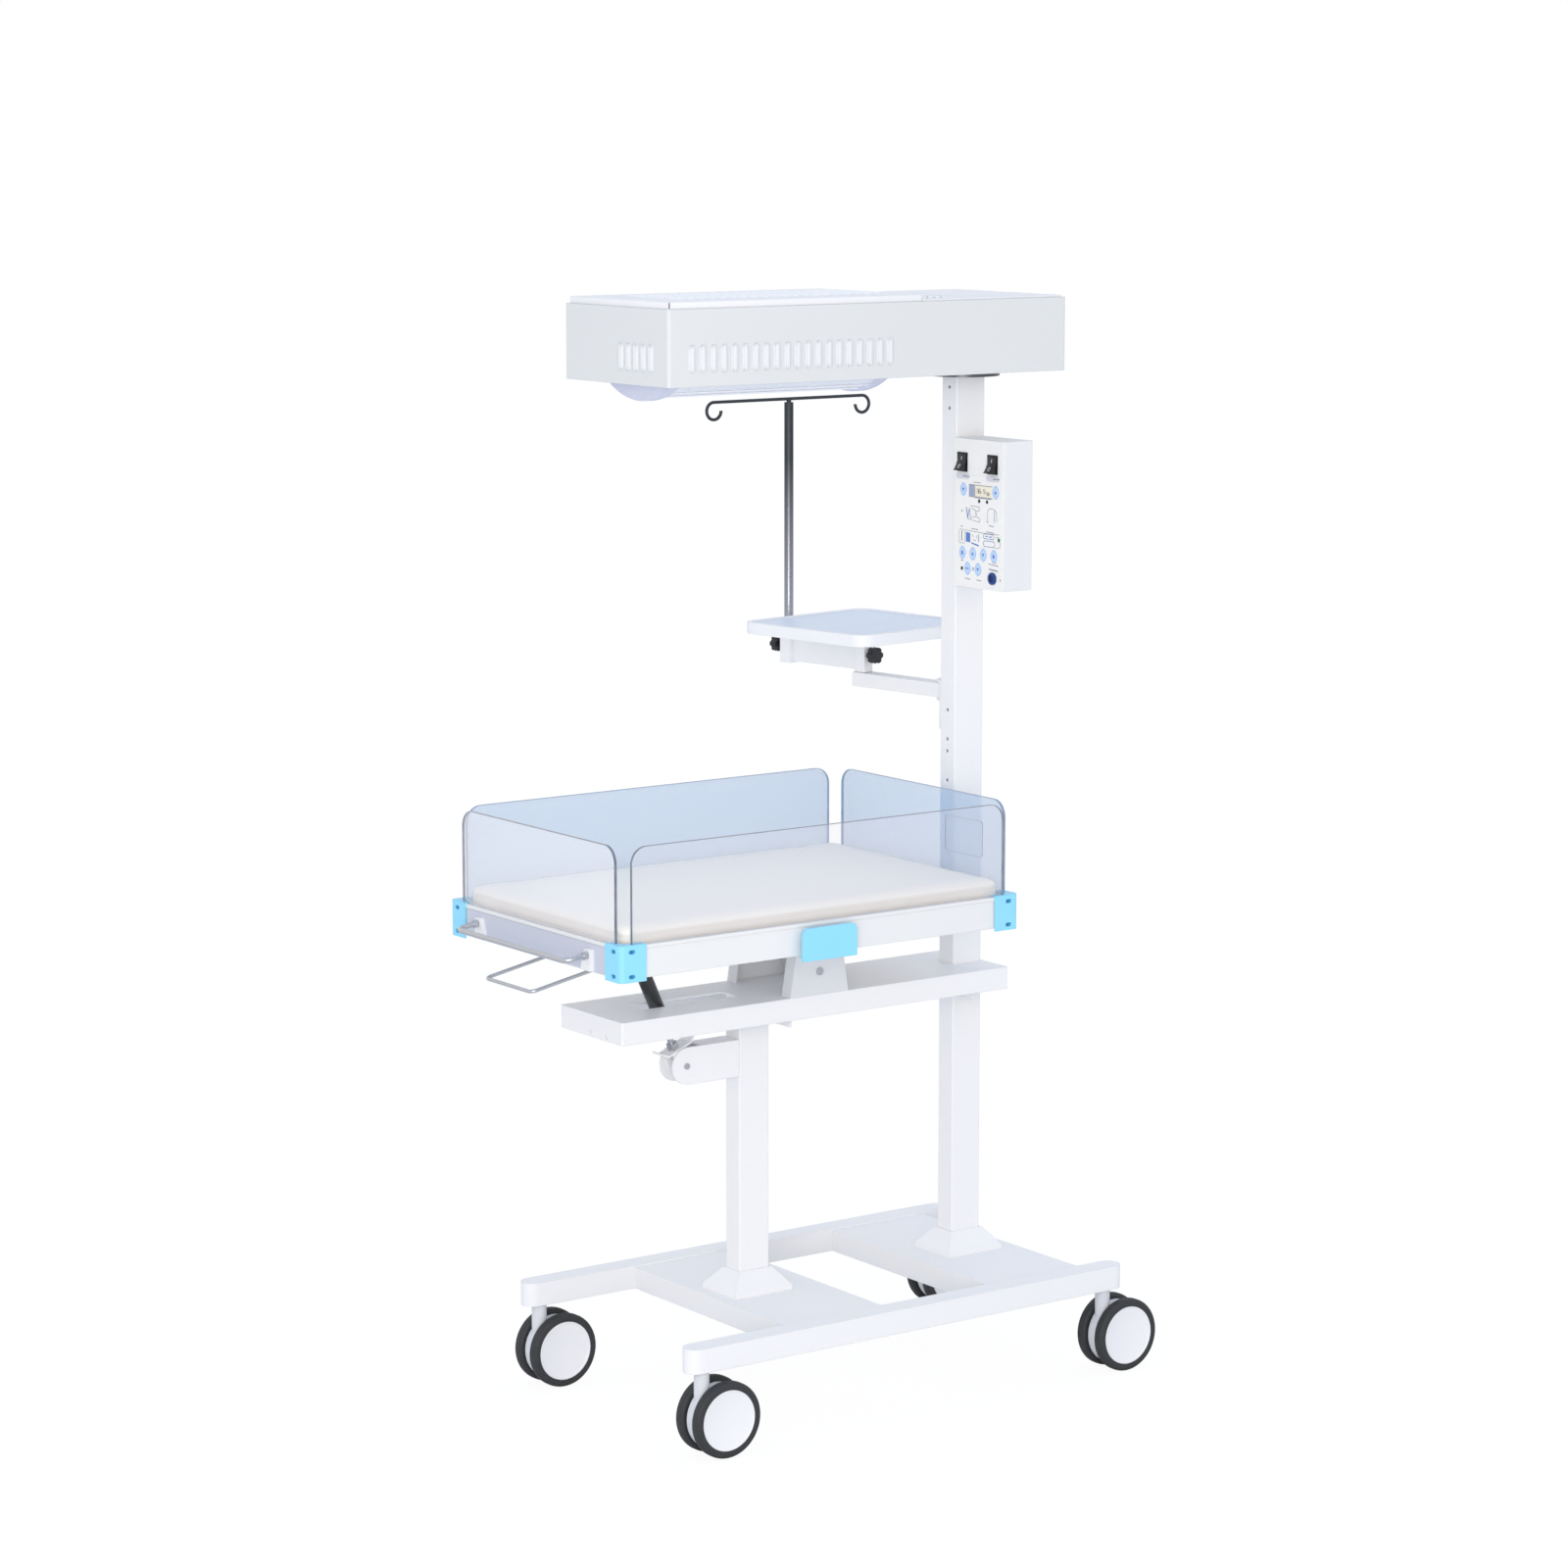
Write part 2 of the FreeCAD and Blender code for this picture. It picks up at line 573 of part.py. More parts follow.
brackets = newBody("tilt_brackets", size.tiltX, 0, 0)
pins = newBody("hinge_pins", 0, 0, 0)
pinTip = earOuter - size.earWall - size.pinEnd
for side in (-1, 1):
    addTiltBracket(brackets, side)
    face = side * size.beamHalf
    addSlab(pins, "XZ", *ordered(face, side * (size.beamHalf + size.pinHeadDeep)),
            (size.tiltX, size.tiltZ, size.pinHeadRadius))
    addSlab(pins, "XZ", *ordered(face, side * pinTip), (size.tiltX, size.tiltZ, size.pinRadius))

# Clevis arm on the leg, and the gas spring with its yoke

arm = newBody("strut_arm", 0, 0, 0)
armRear = size.legX - halfWide
addSlab(arm, "XZ", -size.armHalf, size.armHalf, [
    (size.armFront, size.armBottom, size.armRound), (armRear, size.armBottom),
    (armRear, size.armTop), (size.armFront, size.armTop, size.armRound)])
cutSlab(arm, "XY", size.armBottom, size.armTop,
        box(size.armFront, size.clevisRear, -size.armHalf + size.armWall, size.armHalf - size.armWall))
cutSlab(arm, "XY", size.armBottom + size.armWall, size.armTop - size.armWall,
        box(size.clevisRear, armRear, -size.armHalf + size.armWall, size.armHalf - size.armWall))
cutSlab(arm, "XZ", -size.armHalf, size.armHalf,
        (size.strutX, size.strutZ, size.strutPinRadius + size.runFit))

pinEnd = size.armHalf + size.pinEnd
addSlab(pins, "XZ", -pinEnd, pinEnd, (size.strutX, size.strutZ, size.strutPinRadius))

strutLean = math.degrees(math.atan2(size.strutX.number - size.strutTopX.number,
                                    size.strutTopZ.number - size.strutZ.number))
strutTurn = Rotation(Vector(0, 1, 0), -strutLean)
strutLong = root((size.strutX - size.strutTopX) * (size.strutX - size.strutTopX)
                 + (size.strutTopZ - size.strutZ) * (size.strutTopZ - size.strutZ))
strutLong = derive("strutLong", strutLong)

yoke = newBody("strut_yoke", size.strutX, 0, size.strutZ, strutTurn)
yokeHalf = size.armHalf - size.armWall - size.yokeGap
wingTop = size.wingHigh + size.wingWall
tip = size.wingTip
bevel = size.wingBevel
addSlab(yoke, "XZ", -yokeHalf, yokeHalf, [
    (-size.wingFront, size.wingHigh), (size.wingRear, size.wingHigh),
    (size.wingRear + tip, size.wingHigh + tip), (size.wingRear + tip - bevel, wingTop + tip),
    (size.wingRear - bevel, wingTop), (-size.wingFront + bevel, wingTop),
    (-size.wingFront - tip + bevel, wingTop + tip), (-size.wingFront - tip, size.wingHigh + tip)])
earWide = size.yokeSide
for side in (-1, 1):
    addSlab(yoke, "XZ", *ordered(side * yokeHalf, side * (yokeHalf - size.yokeEar)), [
        (-earWide, -earWide, earWide - halfTurnGap), (earWide, -earWide, earWide - halfTurnGap),
        (earWide, size.wingHigh + 1), (-earWide, size.wingHigh + 1)])
cutSlab(yoke, "XZ", -yokeHalf, yokeHalf, (0, 0, size.strutPinRadius + size.runFit))

rod = newBody("strut_rod", size.strutX, 0, size.strutZ, strutTurn)
nutCorners = [(size.nutRadius * math.cos(math.radians(turn)), size.nutRadius * math.sin(math.radians(turn)))
              for turn in range(0, 360, 60)]
addSlab(rod, "XY", wingTop, wingTop + size.nutHigh, nutCorners)
addSlab(rod, "XY", wingTop, size.rodTop, (0, 0, size.rodRadius))

cylinder = newBody("strut_cylinder", size.strutX, 0, size.strutZ, strutTurn)
cylinderTop = strutLong - size.eyeRadius
addSlab(cylinder, "XY", size.cylinderFoot, cylinderTop, (0, 0, size.cylinderRadius))
eyeFoot = cylinderTop - size.cylinderCap / 2
addSlab(cylinder, "XZ", -size.eyeThick / 2, size.eyeThick / 2, [
    (-size.eyeRadius, eyeFoot), (size.eyeRadius, eyeFoot),
    (size.eyeRadius, strutLong + size.eyeRadius, size.eyeRadius - halfTurnGap),
    (-size.eyeRadius, strutLong + size.eyeRadius, size.eyeRadius - halfTurnGap)])
cutSlab(cylinder, "XY", size.cylinderFoot, cylinderTop - size.cylinderCap,
        (0, 0, size.rodRadius + size.runFit))
cutSlab(cylinder, "XZ", -size.eyeThick / 2, size.eyeThick / 2, (0, strutLong, size.eyeBore))

# Bed: pan, underframe, corner blocks, grips, handle, mattress and panels

pan = newBody("bed_pan", 0, 0, 0)


def panBox(inset, radius=None):
    return box(size.panFront + inset, size.panRear - inset,
               -size.panHalf + inset, size.panHalf - inset, radius)


lip = size.lipProud
addSlab(pan, "XY", size.panBottom, size.panTop, panBox(lip, size.panRound - lip))
addSlab(pan, "XY", size.panTop - size.lipHigh, size.panTop, panBox(asSize(0), size.panRound))
cutSlab(pan, "XY", size.panBottom + size.panWall, size.panTop - size.rimHigh, panBox(lip + size.panWall))
cutSlab(pan, "XY", size.panTop - size.rimHigh, size.panTop, panBox(size.rimWide))

frame = newBody("bed_underframe", 0, 0, 0)
frameFoot = size.panBottom - size.earWall
addSlab(frame, "XY", frameFoot, size.panBottom,
        box(size.tiltX - size.earHalf, size.tiltX + size.earHalf, -earOuter, earOuter))
addSlab(frame, "XY", frameFoot, size.panBottom,
        box(size.strutTopX - 2 * size.strutEarHalf, size.tiltX, -size.earHalf, size.earHalf))
for side in (-1, 1):
    span = ordered(side * earOuter, side * (earOuter - size.earWall))
    foot = size.tiltZ - size.earRadius
    addSlab(frame, "XZ", *span, [
        (size.tiltX - size.earHalf, size.panBottom), (size.tiltX - size.earRadius, foot, size.earRound),
        (size.tiltX + size.earRadius, foot, size.earRound), (size.tiltX + size.earHalf, size.panBottom)])
    cutSlab(frame, "XZ", *span, (size.tiltX, size.tiltZ, bearing))
strutEarInner = size.eyeThick / 2 + size.eyeGap
strutEarOuter = strutEarInner + size.earWall
for side in (-1, 1):
    low = size.strutTopX - size.strutEarHalf
    high = size.strutTopX + size.strutEarHalf
    foot = size.strutTopZ - size.strutEarHalf
    round = size.strutEarHalf - halfTurnGap
    addSlab(frame, "XZ", *ordered(side * strutEarOuter, side * strutEarInner), [
        (low, foot, round), (high, foot, round), (high, size.panBottom), (low, size.panBottom)])
addSlab(frame, "XZ", -strutEarOuter, strutEarOuter, (size.strutTopX, size.strutTopZ, size.upperPinRadius))

blockOuterX = {-1: size.panFront - size.blockWall, 1: size.panRear + size.blockWall}
blockOuterY = size.panHalf + size.blockWall
panelY = size.panHalf - size.panelInset
panelFrontX = size.panFront + size.panelInset + size.panelThick
panelRearX = size.panRear - size.panelInset
nearPanelFront = size.panFront + size.panelEndX
nearPanelRear = size.panRear - size.panelEndX
panelHalf = size.panHalf - size.panelEndY

# The rim's grooves, which the panels drop into
gap = size.panelGap
panelFoot = size.panTop - size.grooveDeep + gap
rearBack = panelRearX - size.panelThick
grooves = [box(nearPanelFront - gap, nearPanelRear + gap, panelY - size.panelThick - gap, panelY + gap),
           box(nearPanelFront - gap, nearPanelRear + gap, -panelY - gap, -panelY + size.panelThick + gap),
           box(panelFrontX - size.panelThick - gap, panelFrontX + gap, -panelHalf - gap, panelHalf + gap),
           box(rearBack - gap, panelRearX + gap, -panelHalf - gap, panelHalf + gap)]
cutSlab(pan, "XY", size.panTop - size.grooveDeep, size.panTop, *grooves)


def addRecesses(block, plane, middle, face, side):
    """Two long shallow recesses for the fixing screws, in one face of a corner block."""
    half = size.recessLong / 2
    tall = size.recessHigh / 2
    floor = face - side * size.recessDeep
    cutSlab(block, plane, *ordered(face, floor), *(
        box(middle - half, middle + half, z - tall, z + tall, tall - halfTurnGap)
        for z in (size.recessLowZ, size.recessHighZ)))


def addBlock(block, endX, sideY):
    """A corner block that wraps the pan and holds the feet of two panels in grooves."""
    outerX = blockOuterX[endX]
    outerY = sideY * blockOuterY
    innerX = outerX - endX * size.blockAlongX
    innerY = outerY - sideY * size.blockAlongY
    reachX = outerX - endX * size.blockReach
    reachY = outerY - sideY * size.blockReach
    round = size.blockRound
    addSlab(block, "XY", size.blockFoot, size.blockTop, [
        (outerX, outerY, round), (innerX, outerY), (innerX, reachY), (reachX, reachY),
        (reachX, innerY), (outerX, innerY)])
    panX = outerX - endX * size.blockWall
    panY = outerY - sideY * size.blockWall
    farX = outerX - endX * (size.blockAlongX + size.blockWall)
    farY = outerY - sideY * (size.blockAlongY + size.blockWall)
    cutSlab(block, "XY", size.blockFoot, size.panTop,
            [(panX, panY), (farX, panY), (farX, farY), (panX, farY)])
    low, high = ordered(sideY * (panelY + gap), sideY * (panelY - size.panelThick - gap))
    start = (nearPanelFront if endX < 0 else nearPanelRear) + endX * gap
    cutSlab(block, "XY", size.panTop, size.blockTop, box(*ordered(start, farX), low, high))
    frontFace = (panelFrontX - size.panelThick) if endX < 0 else panelRearX
    backFace = frontFace - endX * size.panelThick
    low, high = ordered(frontFace + endX * gap, backFace - endX * gap)
    start = sideY * (panelHalf + gap)
    cutSlab(block, "XY", size.panTop, size.blockTop, box(low, high, *ordered(start, farY)))
    addRecesses(block, "XZ", outerX - endX * size.recessInsetX, outerY, sideY)
    addRecesses(block, "YZ", outerY - sideY * size.recessInsetY, outerX, endX)


blocks = newBody("corner_blocks", 0, 0, 0)
for endX in (-1, 1):
    for sideY in (-1, 1):
        addBlock(blocks, endX, sideY)


def makePanel(label, plane, face, low, high):
    panel = newBody(label, 0, 0, 0)
    addSlab(panel, plane, face, face + size.panelThick, [
        (low, panelFoot), (high, panelFoot),
        (high, size.panelTop, size.panelRound), (low, size.panelTop, size.panelRound)])
    return panel


makePanel("panel_near", "XZ", -panelY, nearPanelFront, nearPanelRear)
makePanel("panel_far", "XZ", panelY - size.panelThick, nearPanelFront, nearPanelRear)
makePanel("panel_front", "YZ", panelFrontX - size.panelThick, -panelHalf, panelHalf)
makePanel("panel_rear", "YZ", rearBack, -panelHalf, panelHalf)

mattress = newBody("mattress", 0, 0, 0)
mattressInset = size.rimWide + size.mattressGap
addSlab(mattress, "XY", size.panBottom + size.panWall + size.panelGap, size.mattressTop,
        box(size.panFront + mattressInset, size.panRear - mattressInset,
            -size.panHalf + mattressInset, size.panHalf - mattressInset, size.mattressRound))
roundTop(mattress, size.mattressTop, size.mattressEdge)


def addGrip(grip, side):
    """A side grip that stands off the pan's wall on a foot under the pan."""
    outer = side * (size.panHalf + size.gripStand + size.gripThick)
    inner = side * (size.panHalf + size.gripStand)
    half = size.gripLong / 2
    addSlab(grip, "XZ", *ordered(outer, inner), [
        (-half, size.gripFoot), (half, size.gripFoot),
        (half, size.gripTop, size.gripRound), (-half, size.gripTop, size.gripRound)])
    under = side * (size.panHalf - size.gripTuck)
    half = half - size.gripRound
    addSlab(grip, "XY", size.panBottom - size.gripTab, size.panBottom,
            box(-half, half, *ordered(under, inner)))


grips = newBody("side_grips", (size.panFront + size.panRear) / 2, 0, 0)
for side in (-1, 1):
    addGrip(grips, side)

# The handle's arms slope down from cast lugs on the pan's front face.
lugFace = size.panFront + size.lipProud
lugs = newBody("handle_brackets", lugFace, 0, size.handleZ)
lugReach = size.handleHalf + size.lugHead
lugDrop = size.handleZ - size.lugFootZ
slope = sine(size.handleLean) / cosine(size.handleLean)
for side in (-1, 1):
    addSlab(lugs, "YZ", -size.lugDeep, 0, [
        (side * lugReach, -lugDrop), (side * (lugReach - size.lugFootWide), -lugDrop),
        (side * (size.handleHalf - size.lugHead), size.lugHead, size.lugHead / 2),
        (side * lugReach, size.lugHead, size.lugHead / 2)])
    addRod(lugs, "XZ", -side * size.handleHalf, [(0, 0), (-size.lugDeep, -slope * size.lugDeep)],
           "YZ", 0, (side * size.handleHalf, 0), size.handleRadius + size.handleFit, "Subtractive")

handleTurn = Rotation(Vector(0, 1, 0), -size.handleLean.number)
handle = newBody("front_handle", lugFace, 0, size.handleZ, handleTurn)
addRod(handle, "XY", 0, [
    (-size.handleEnd, -size.handleHalf), (-size.handleLong, -size.handleHalf, size.handleBend),
    (-size.handleLong, size.handleHalf, size.handleBend), (-size.handleEnd, size.handleHalf)],
    "YZ", -size.handleEnd, (-size.handleHalf, 0), size.handleRadius)
sleeveHead = -size.lugDeep - size.sleeveGap
addSlab(handle, "YZ", sleeveHead - size.sleeveLong, sleeveHead,
        (-size.handleHalf, 0, size.sleeveRadius), (size.handleHalf, 0, size.sleeveRadius))

leverTurn = Rotation(Vector(0, 1, 0), -size.leverLean.number)
lever = newBody("release_lever", size.leverPivotX, 0, size.leverPivotZ, leverTurn)
leverSide = size.leverHalf
addRod(lever, "XY", 0, [
    (-size.leverRoot, -leverSide), (-size.leverLong, -leverSide, size.leverBend),
    (-size.leverLong, leverSide, size.leverBend), (-size.leverRoot, leverSide)],
    "YZ", -size.leverRoot, (-leverSide, 0), size.leverRadius)
for side in (-1, 1):
    span = (side * leverSide - size.leverEyeHalf, side * leverSide + size.leverEyeHalf)
    addSlab(lever, "XZ", *span, (0, 0, size.leverEye))
    cutSlab(lever, "XZ", *span, (0, 0, size.leverPin + size.runFit))

hinges = newBody("lever_hinges", size.leverPivotX, 0, size.leverPivotZ)
top = size.panBottom - size.leverPivotZ
for side in (-1, 1):
    middle = side * leverSide
    inner = size.leverRadius + size.leverGap
    outer = inner + size.hingeEar
    half = size.hingeBlockHalf
    for low, high in ((-outer, -inner), (inner, outer)):
        addSlab(hinges, "XZ", middle + low, middle + high, [
            (-half, -half, half - halfTurnGap), (half, -half, half - halfTurnGap),
            (half, top), (-half, top)])
    addSlab(hinges, "XZ", middle - outer, middle + outer, (0, 0, size.leverPin))

# Hood with its louvres, covers, reflector and heater

shell = newBody("hood_shell", 0, 0, 0)
front, rear, half = size.hoodFront, size.hoodRear, size.hoodHalf
skin = size.hoodWall
addSlab(shell, "XY", size.hoodBottom, size.hoodTop, box(front, rear, -half, half, size.hoodRound))
cutSlab(shell, "XY", size.hoodBottom + skin, size.hoodTop - skin,
        box(front + skin, rear - skin, -half + skin, half - skin, size.hoodRound - skin))
rim = size.hoodRim
cutSlab(shell, "XY", size.hoodTop - skin, size.hoodTop,
        box(front + rim, rear - rim, -half + rim, half - rim))
margin = size.floorMargin
cutSlab(shell, "XY", size.hoodBottom, size.hoodBottom + skin,
        box(size.heaterFront - margin, size.heaterRear + margin,
            -size.heaterHalf - margin, size.heaterHalf + margin),
        (size.columnX, 0, size.hubRadius + size.hubGap))
louvreHalf = size.louvreWide / 2
louvre = addSlab(shell, "XZ", -half - size.louvreProud, -half, box(
    size.louvreFrontX - louvreHalf, size.louvreFrontX + louvreHalf,
    size.louvreFoot, size.louvreHead, louvreHalf - halfTurnGap))
repeat(shell, louvre, "H_Axis", size.louvrePitch, size.louvreCount)
endLouvre = addSlab(shell, "YZ", front - size.louvreProud, front, box(
    size.endLouvreY - louvreHalf, size.endLouvreY + louvreHalf,
    size.louvreFoot, size.louvreHead, louvreHalf - halfTurnGap))
repeat(shell, endLouvre, "H_Axis", size.endLouvrePitch, size.endLouvreCount)

lid = newBody("hood_covers", 0, 0, 0)
lidTop = size.hoodTop + size.lidRise
inset = size.lidInset
addSlab(lid, "XY", size.hoodTop, lidTop,
        box(front + inset, size.lidRear, -half + inset, half - inset, size.lidRound))
cutSlab(lid, "XY", size.hoodTop, lidTop - skin,
        box(front + inset + skin, size.lidRear - skin, -half + inset + skin, half - inset - skin))
for row in (-1, 0, 1):
    rowY = row * size.topRowPitch
    topLouvre = addSlab(lid, "XY", lidTop, lidTop + size.topLouvreProud, box(
        size.topLouvreFrontX - louvreHalf, size.topLouvreFrontX + louvreHalf,
        rowY - size.topLouvreLong / 2, rowY + size.topLouvreLong / 2, louvreHalf - halfTurnGap))
    repeat(lid, topLouvre, "H_Axis", size.topLouvrePitch, size.topLouvreCount)
addSlab(lid, "XY", size.hoodTop, size.hoodTop + size.coverRise,
        box(size.lidRear + size.coverGap, rear - inset, -half + inset, half - inset, size.lidRound))

mirror = newBody("reflector", 0, 0, 0)
mirrorFoot = size.hoodBottom + skin
mirrorTop = mirrorFoot + size.mirrorHigh
bend = size.mirrorRound
mouth = size.heaterHalf
thick = size.mirrorWall
addSlab(mirror, "YZ", size.heaterFront, size.heaterRear, [
    (-mouth, mirrorFoot), (-mouth, mirrorTop, bend), (mouth, mirrorTop, bend), (mouth, mirrorFoot)])
cutSlab(mirror, "YZ", size.heaterFront, size.heaterRear, [
    (-mouth + thick, mirrorFoot), (-mouth + thick, mirrorTop - thick, bend - thick),
    (mouth - thick, mirrorTop - thick, bend - thick), (mouth - thick, mirrorFoot)])
for side in (-1, 1):
    addSlab(mirror, "XY", mirrorFoot, mirrorFoot + thick, box(
        size.heaterFront, size.heaterRear,
        *ordered(side * (mouth - thick), side * (mouth + size.mirrorLip))))

archRadius = (size.heaterHalf * size.heaterHalf / size.heaterDrop + size.heaterDrop) / 2
archCentreZ = size.hoodBottom - size.heaterDrop + archRadius


def addHeaterEnd(plate, face):
    """A segment-shaped plate that closes the guard and carries the quartz tube."""
    sketch = newSketch(plate, "YZ", face)
    mouth = size.heaterHalf
    top = mirrorTop - size.mirrorWall - size.endGap
    centre = Vector(0, archCentreZ.number, 0)
    half = math.atan2(mouth.number, archCentreZ.number - size.hoodBottom.number)
    circle = Part.Circle(centre, Vector(0, 0, 1), archRadius.number)
    arc = sketch.addGeometry(Part.ArcOfCircle(circle, -math.pi / 2 - half, -math.pi / 2 + half), False)
    holdPoint(sketch, arc, 1, -mouth, size.hoodBottom)
    holdPoint(sketch, arc, 2, mouth, size.hoodBottom)
    index = sketch.addConstraint(Sketcher.Constraint("Radius", arc, archRadius.number))
    bind(sketch, f"Constraints[{index}]", archRadius)
    shoulder = mouth - size.endShoulder
    side = mouth - size.endGap
    spots = [(mouth, size.hoodBottom), (mouth, mirrorFoot), (side, mirrorFoot), (shoulder, top),
             (-shoulder, top), (-side, mirrorFoot), (-mouth, mirrorFoot), (-mouth, size.hoodBottom)]
    for first, second in zip(spots, spots[1:]):
        ends = [Vector(asSize(spot[0]).number, asSize(spot[1]).number, 0) for spot in (first, second)]
        line = sketch.addGeometry(Part.LineSegment(*ends), False)
        holdPoint(sketch, line, 1, *first)
        holdPoint(sketch, line, 2, *second)
    pad = plate.newObject("PartDesign::Pad", "Pad")
    pad.Profile = sketch
    bind(pad, "Length", size.heaterWall)
    cutSlab(plate, "YZ", face, face + size.heaterWall, (0, size.quartzZ, size.quartzRadius + size.runFit))


guard = newBody("heater_guard", 0, 0, 0)
guardFront = size.heaterFront + size.guardGap
guardRear = size.heaterRear - size.guardGap
addHeaterEnd(guard, guardFront)
addHeaterEnd(guard, guardRear - size.heaterWall)
wireFront = guardFront + size.heaterWall / 2
wireRear = guardRear - size.heaterWall / 2
archInner = archRadius - 2 * size.wireRadius
for place in (-2, -1, 0, 1, 2):
    wireY = place * size.wirePitch
    wireZ = archCentreZ - root(archInner * archInner - wireY * wireY)
    addSlab(guard, "YZ", wireFront, wireRear, (wireY, wireZ, size.wireRadius))

quartz = newBody("heater_tube", 0, 0, 0)
addSlab(quartz, "YZ", guardFront, guardRear, (0, size.quartzZ, size.quartzRadius))

spindle = newBody("swivel_base", size.columnX, 0, size.columnTop)
addTurned(spindle, "XZ", "V_Axis", [
    (0, 0), (size.discRadius, 0), (size.discRadius, size.discHigh), (size.spindle, size.discHigh),
    (size.spindle, size.discHigh + size.spindleTall), (0, size.discHigh + size.spindleTall)])
hub = newBody("hood_hub", size.columnX, 0, size.columnTop + size.discHigh + size.hubGap)
bore = size.spindle + size.runFit
flange = size.hoodBottom + skin - (size.columnTop + size.discHigh + size.hubGap)
addTurned(hub, "XZ", "V_Axis", [
    (bore, 0), (size.hubRadius, 0), (size.hubRadius, flange), (size.hubFlange, flange),
    (size.hubFlange, flange + size.hubFlangeHigh), (size.hubRadius, flange + size.hubFlangeHigh),
    (size.hubRadius, size.hubHigh), (bore, size.hubHigh)])

# Control box beside the column

case = newBody("control_box", 0, 0, 0)
boxFar = -halfThick
plateFront = size.boxFront + size.fasciaThick
addSlab(case, "XY", size.boxFoot, size.boxTop,
        box(plateFront, size.boxRear, size.boxNear, boxFar, size.boxWall))
cutSlab(case, "XY", size.boxFoot + size.boxWall, size.boxTop - size.boxWall,
        box(plateFront, size.boxRear - size.boxWall, size.boxNear + size.boxWall, boxFar - size.boxWall))

fascia = newBody("control_fascia", 0, 0, 0)
addSlab(fascia, "YZ", size.boxFront, plateFront,
        box(size.boxNear, boxFar, size.boxFoot, size.boxTop, size.boxWall))
switchHalf = size.switchWide / 2
switchTall = size.switchHigh / 2
openings = [box(y - switchHalf, y + switchHalf, size.switchZ - switchTall, size.switchZ + switchTall)
            for y in (size.switchNearY, size.switchFarY)]
displayHalf = size.displayWide / 2
displayTall = size.displayHigh / 2
openings.append(box(size.displayY - displayHalf, size.displayY + displayHalf,
                    size.displayZ - displayTall, size.displayZ + displayTall))
openings.append((size.socketY, size.socketZ, size.socketBarrel + size.runFit))
cutSlab(fascia, "YZ", size.boxFront, plateFront, *openings)

window = newBody("display_window", 0, 0, 0)
addSlab(window, "YZ", size.boxFront + size.windowSink, plateFront, box(
    size.displayY - displayHalf, size.displayY + displayHalf,
    size.displayZ - displayTall, size.displayZ + displayTall))

bezels = newBody("switch_bodies", 0, 0, size.switchZ)
for name, y in (("heater", size.switchNearY), ("power", size.switchFarY)):
    inner = size.bezelWall
    proud = size.boxFront - size.bezelProud
    wide = switchHalf + size.bezelLip
    tall = switchTall + size.bezelLip
    addSlab(bezels, "YZ", proud, size.boxFront, box(y - wide, y + wide, -tall, tall))
    addSlab(bezels, "YZ", size.boxFront, size.boxFront + size.switchDeep,
            box(y - switchHalf, y + switchHalf, -switchTall, switchTall))
    wide = switchHalf - inner
    tall = switchTall - inner
    cutSlab(bezels, "YZ", proud, size.boxFront + size.switchDeep - inner,
            box(y - wide, y + wide, -tall, tall))
    rocker = newBody(f"{name}_rocker", size.boxFront + size.rockerBack, y, size.switchZ)
    half = wide - size.rockerGap / 2
    tall = tall - size.rockerGap
    back = size.rockerBack
    addSlab(rocker, "XZ", -half, half, [
        (-size.rockerProud - size.rockerRise, tall), (-size.rockerProud, 0), (-size.rockerProud, -tall),
        (back, -tall), (back + size.rockerBelly, 0), (back, tall)])

keypad = newBody("keypad_overlay", 0, 0, 0)
keyBack = size.boxFront - size.keypadThick
margin = size.keypadMargin
addSlab(keypad, "YZ", keyBack, size.boxFront, box(
    size.boxNear + margin, boxFar - margin, size.boxFoot + margin,
    size.switchZ - switchTall - size.bezelLip - margin, margin))
cutSlab(keypad, "YZ", keyBack, size.boxFront,
        box(size.displayY - displayHalf, size.displayY + displayHalf,
            size.displayZ - displayTall, size.displayZ + displayTall),
        (size.socketY, size.socketZ, size.socketRadius + size.keypadThick))
for y in (size.sideKeyFarY, size.sideKeyNearY):
    addSlab(keypad, "YZ", keyBack - size.domeProud, keyBack, (y, size.sideKeyZ, size.domeRadius))
row = addSlab(keypad, "YZ", keyBack - size.domeProud, keyBack,
              (size.keyRowFarY, size.keyRowZ, size.domeRadius))
repeat(keypad, row, "H_Axis", size.keyPitch, size.keyCount, reverse=True)
lowRow = addSlab(keypad, "YZ", keyBack - size.domeProud, keyBack,
                 (size.lowKeyFarY, size.lowKeyZ, size.domeRadius))
repeat(keypad, lowRow, "H_Axis", size.keyPitch, size.lowKeyCount, reverse=True)

socket = newBody("probe_socket", size.boxFront, size.socketY, size.socketZ)
addSlab(socket, "YZ", -size.socketProud, 0, (0, 0, size.socketRadius))
addSlab(socket, "YZ", 0, size.socketDeep, (0, 0, size.socketBarrel))
cutSlab(socket, "YZ", -size.socketProud, size.socketDeep - size.socketEnd, (0, 0, size.socketBore))

board = newBody("control_board", 0, 0, 0)
inset = size.boardInset
addSlab(board, "YZ", size.boardX, size.boardX + size.boardThick, box(
    size.boxNear + inset, boxFar - inset, size.boxFoot + inset, size.boxTop - inset))
for y in (size.boxNear + 2 * inset, boxFar - 2 * inset):
    for z in (size.boxFoot + 2 * inset, size.boxTop - 2 * inset):
        addSlab(board, "YZ", size.boardX + size.boardThick, size.boxRear - size.boxWall,
                (y, z, size.standRadius))

# Tray side: bracket and swing arm on the column, tray, beam, knobs and pole

trayTurn = Rotation(Vector(0, 0, 1), size.armTurn.number)


def alongArm(distance):
    """The place at a distance from the arm's pivot, along the turned arm."""
    return (size.armPivotX - sine(size.armTurn) * distance,
            size.armPivotY + cosine(size.armTurn) * distance)


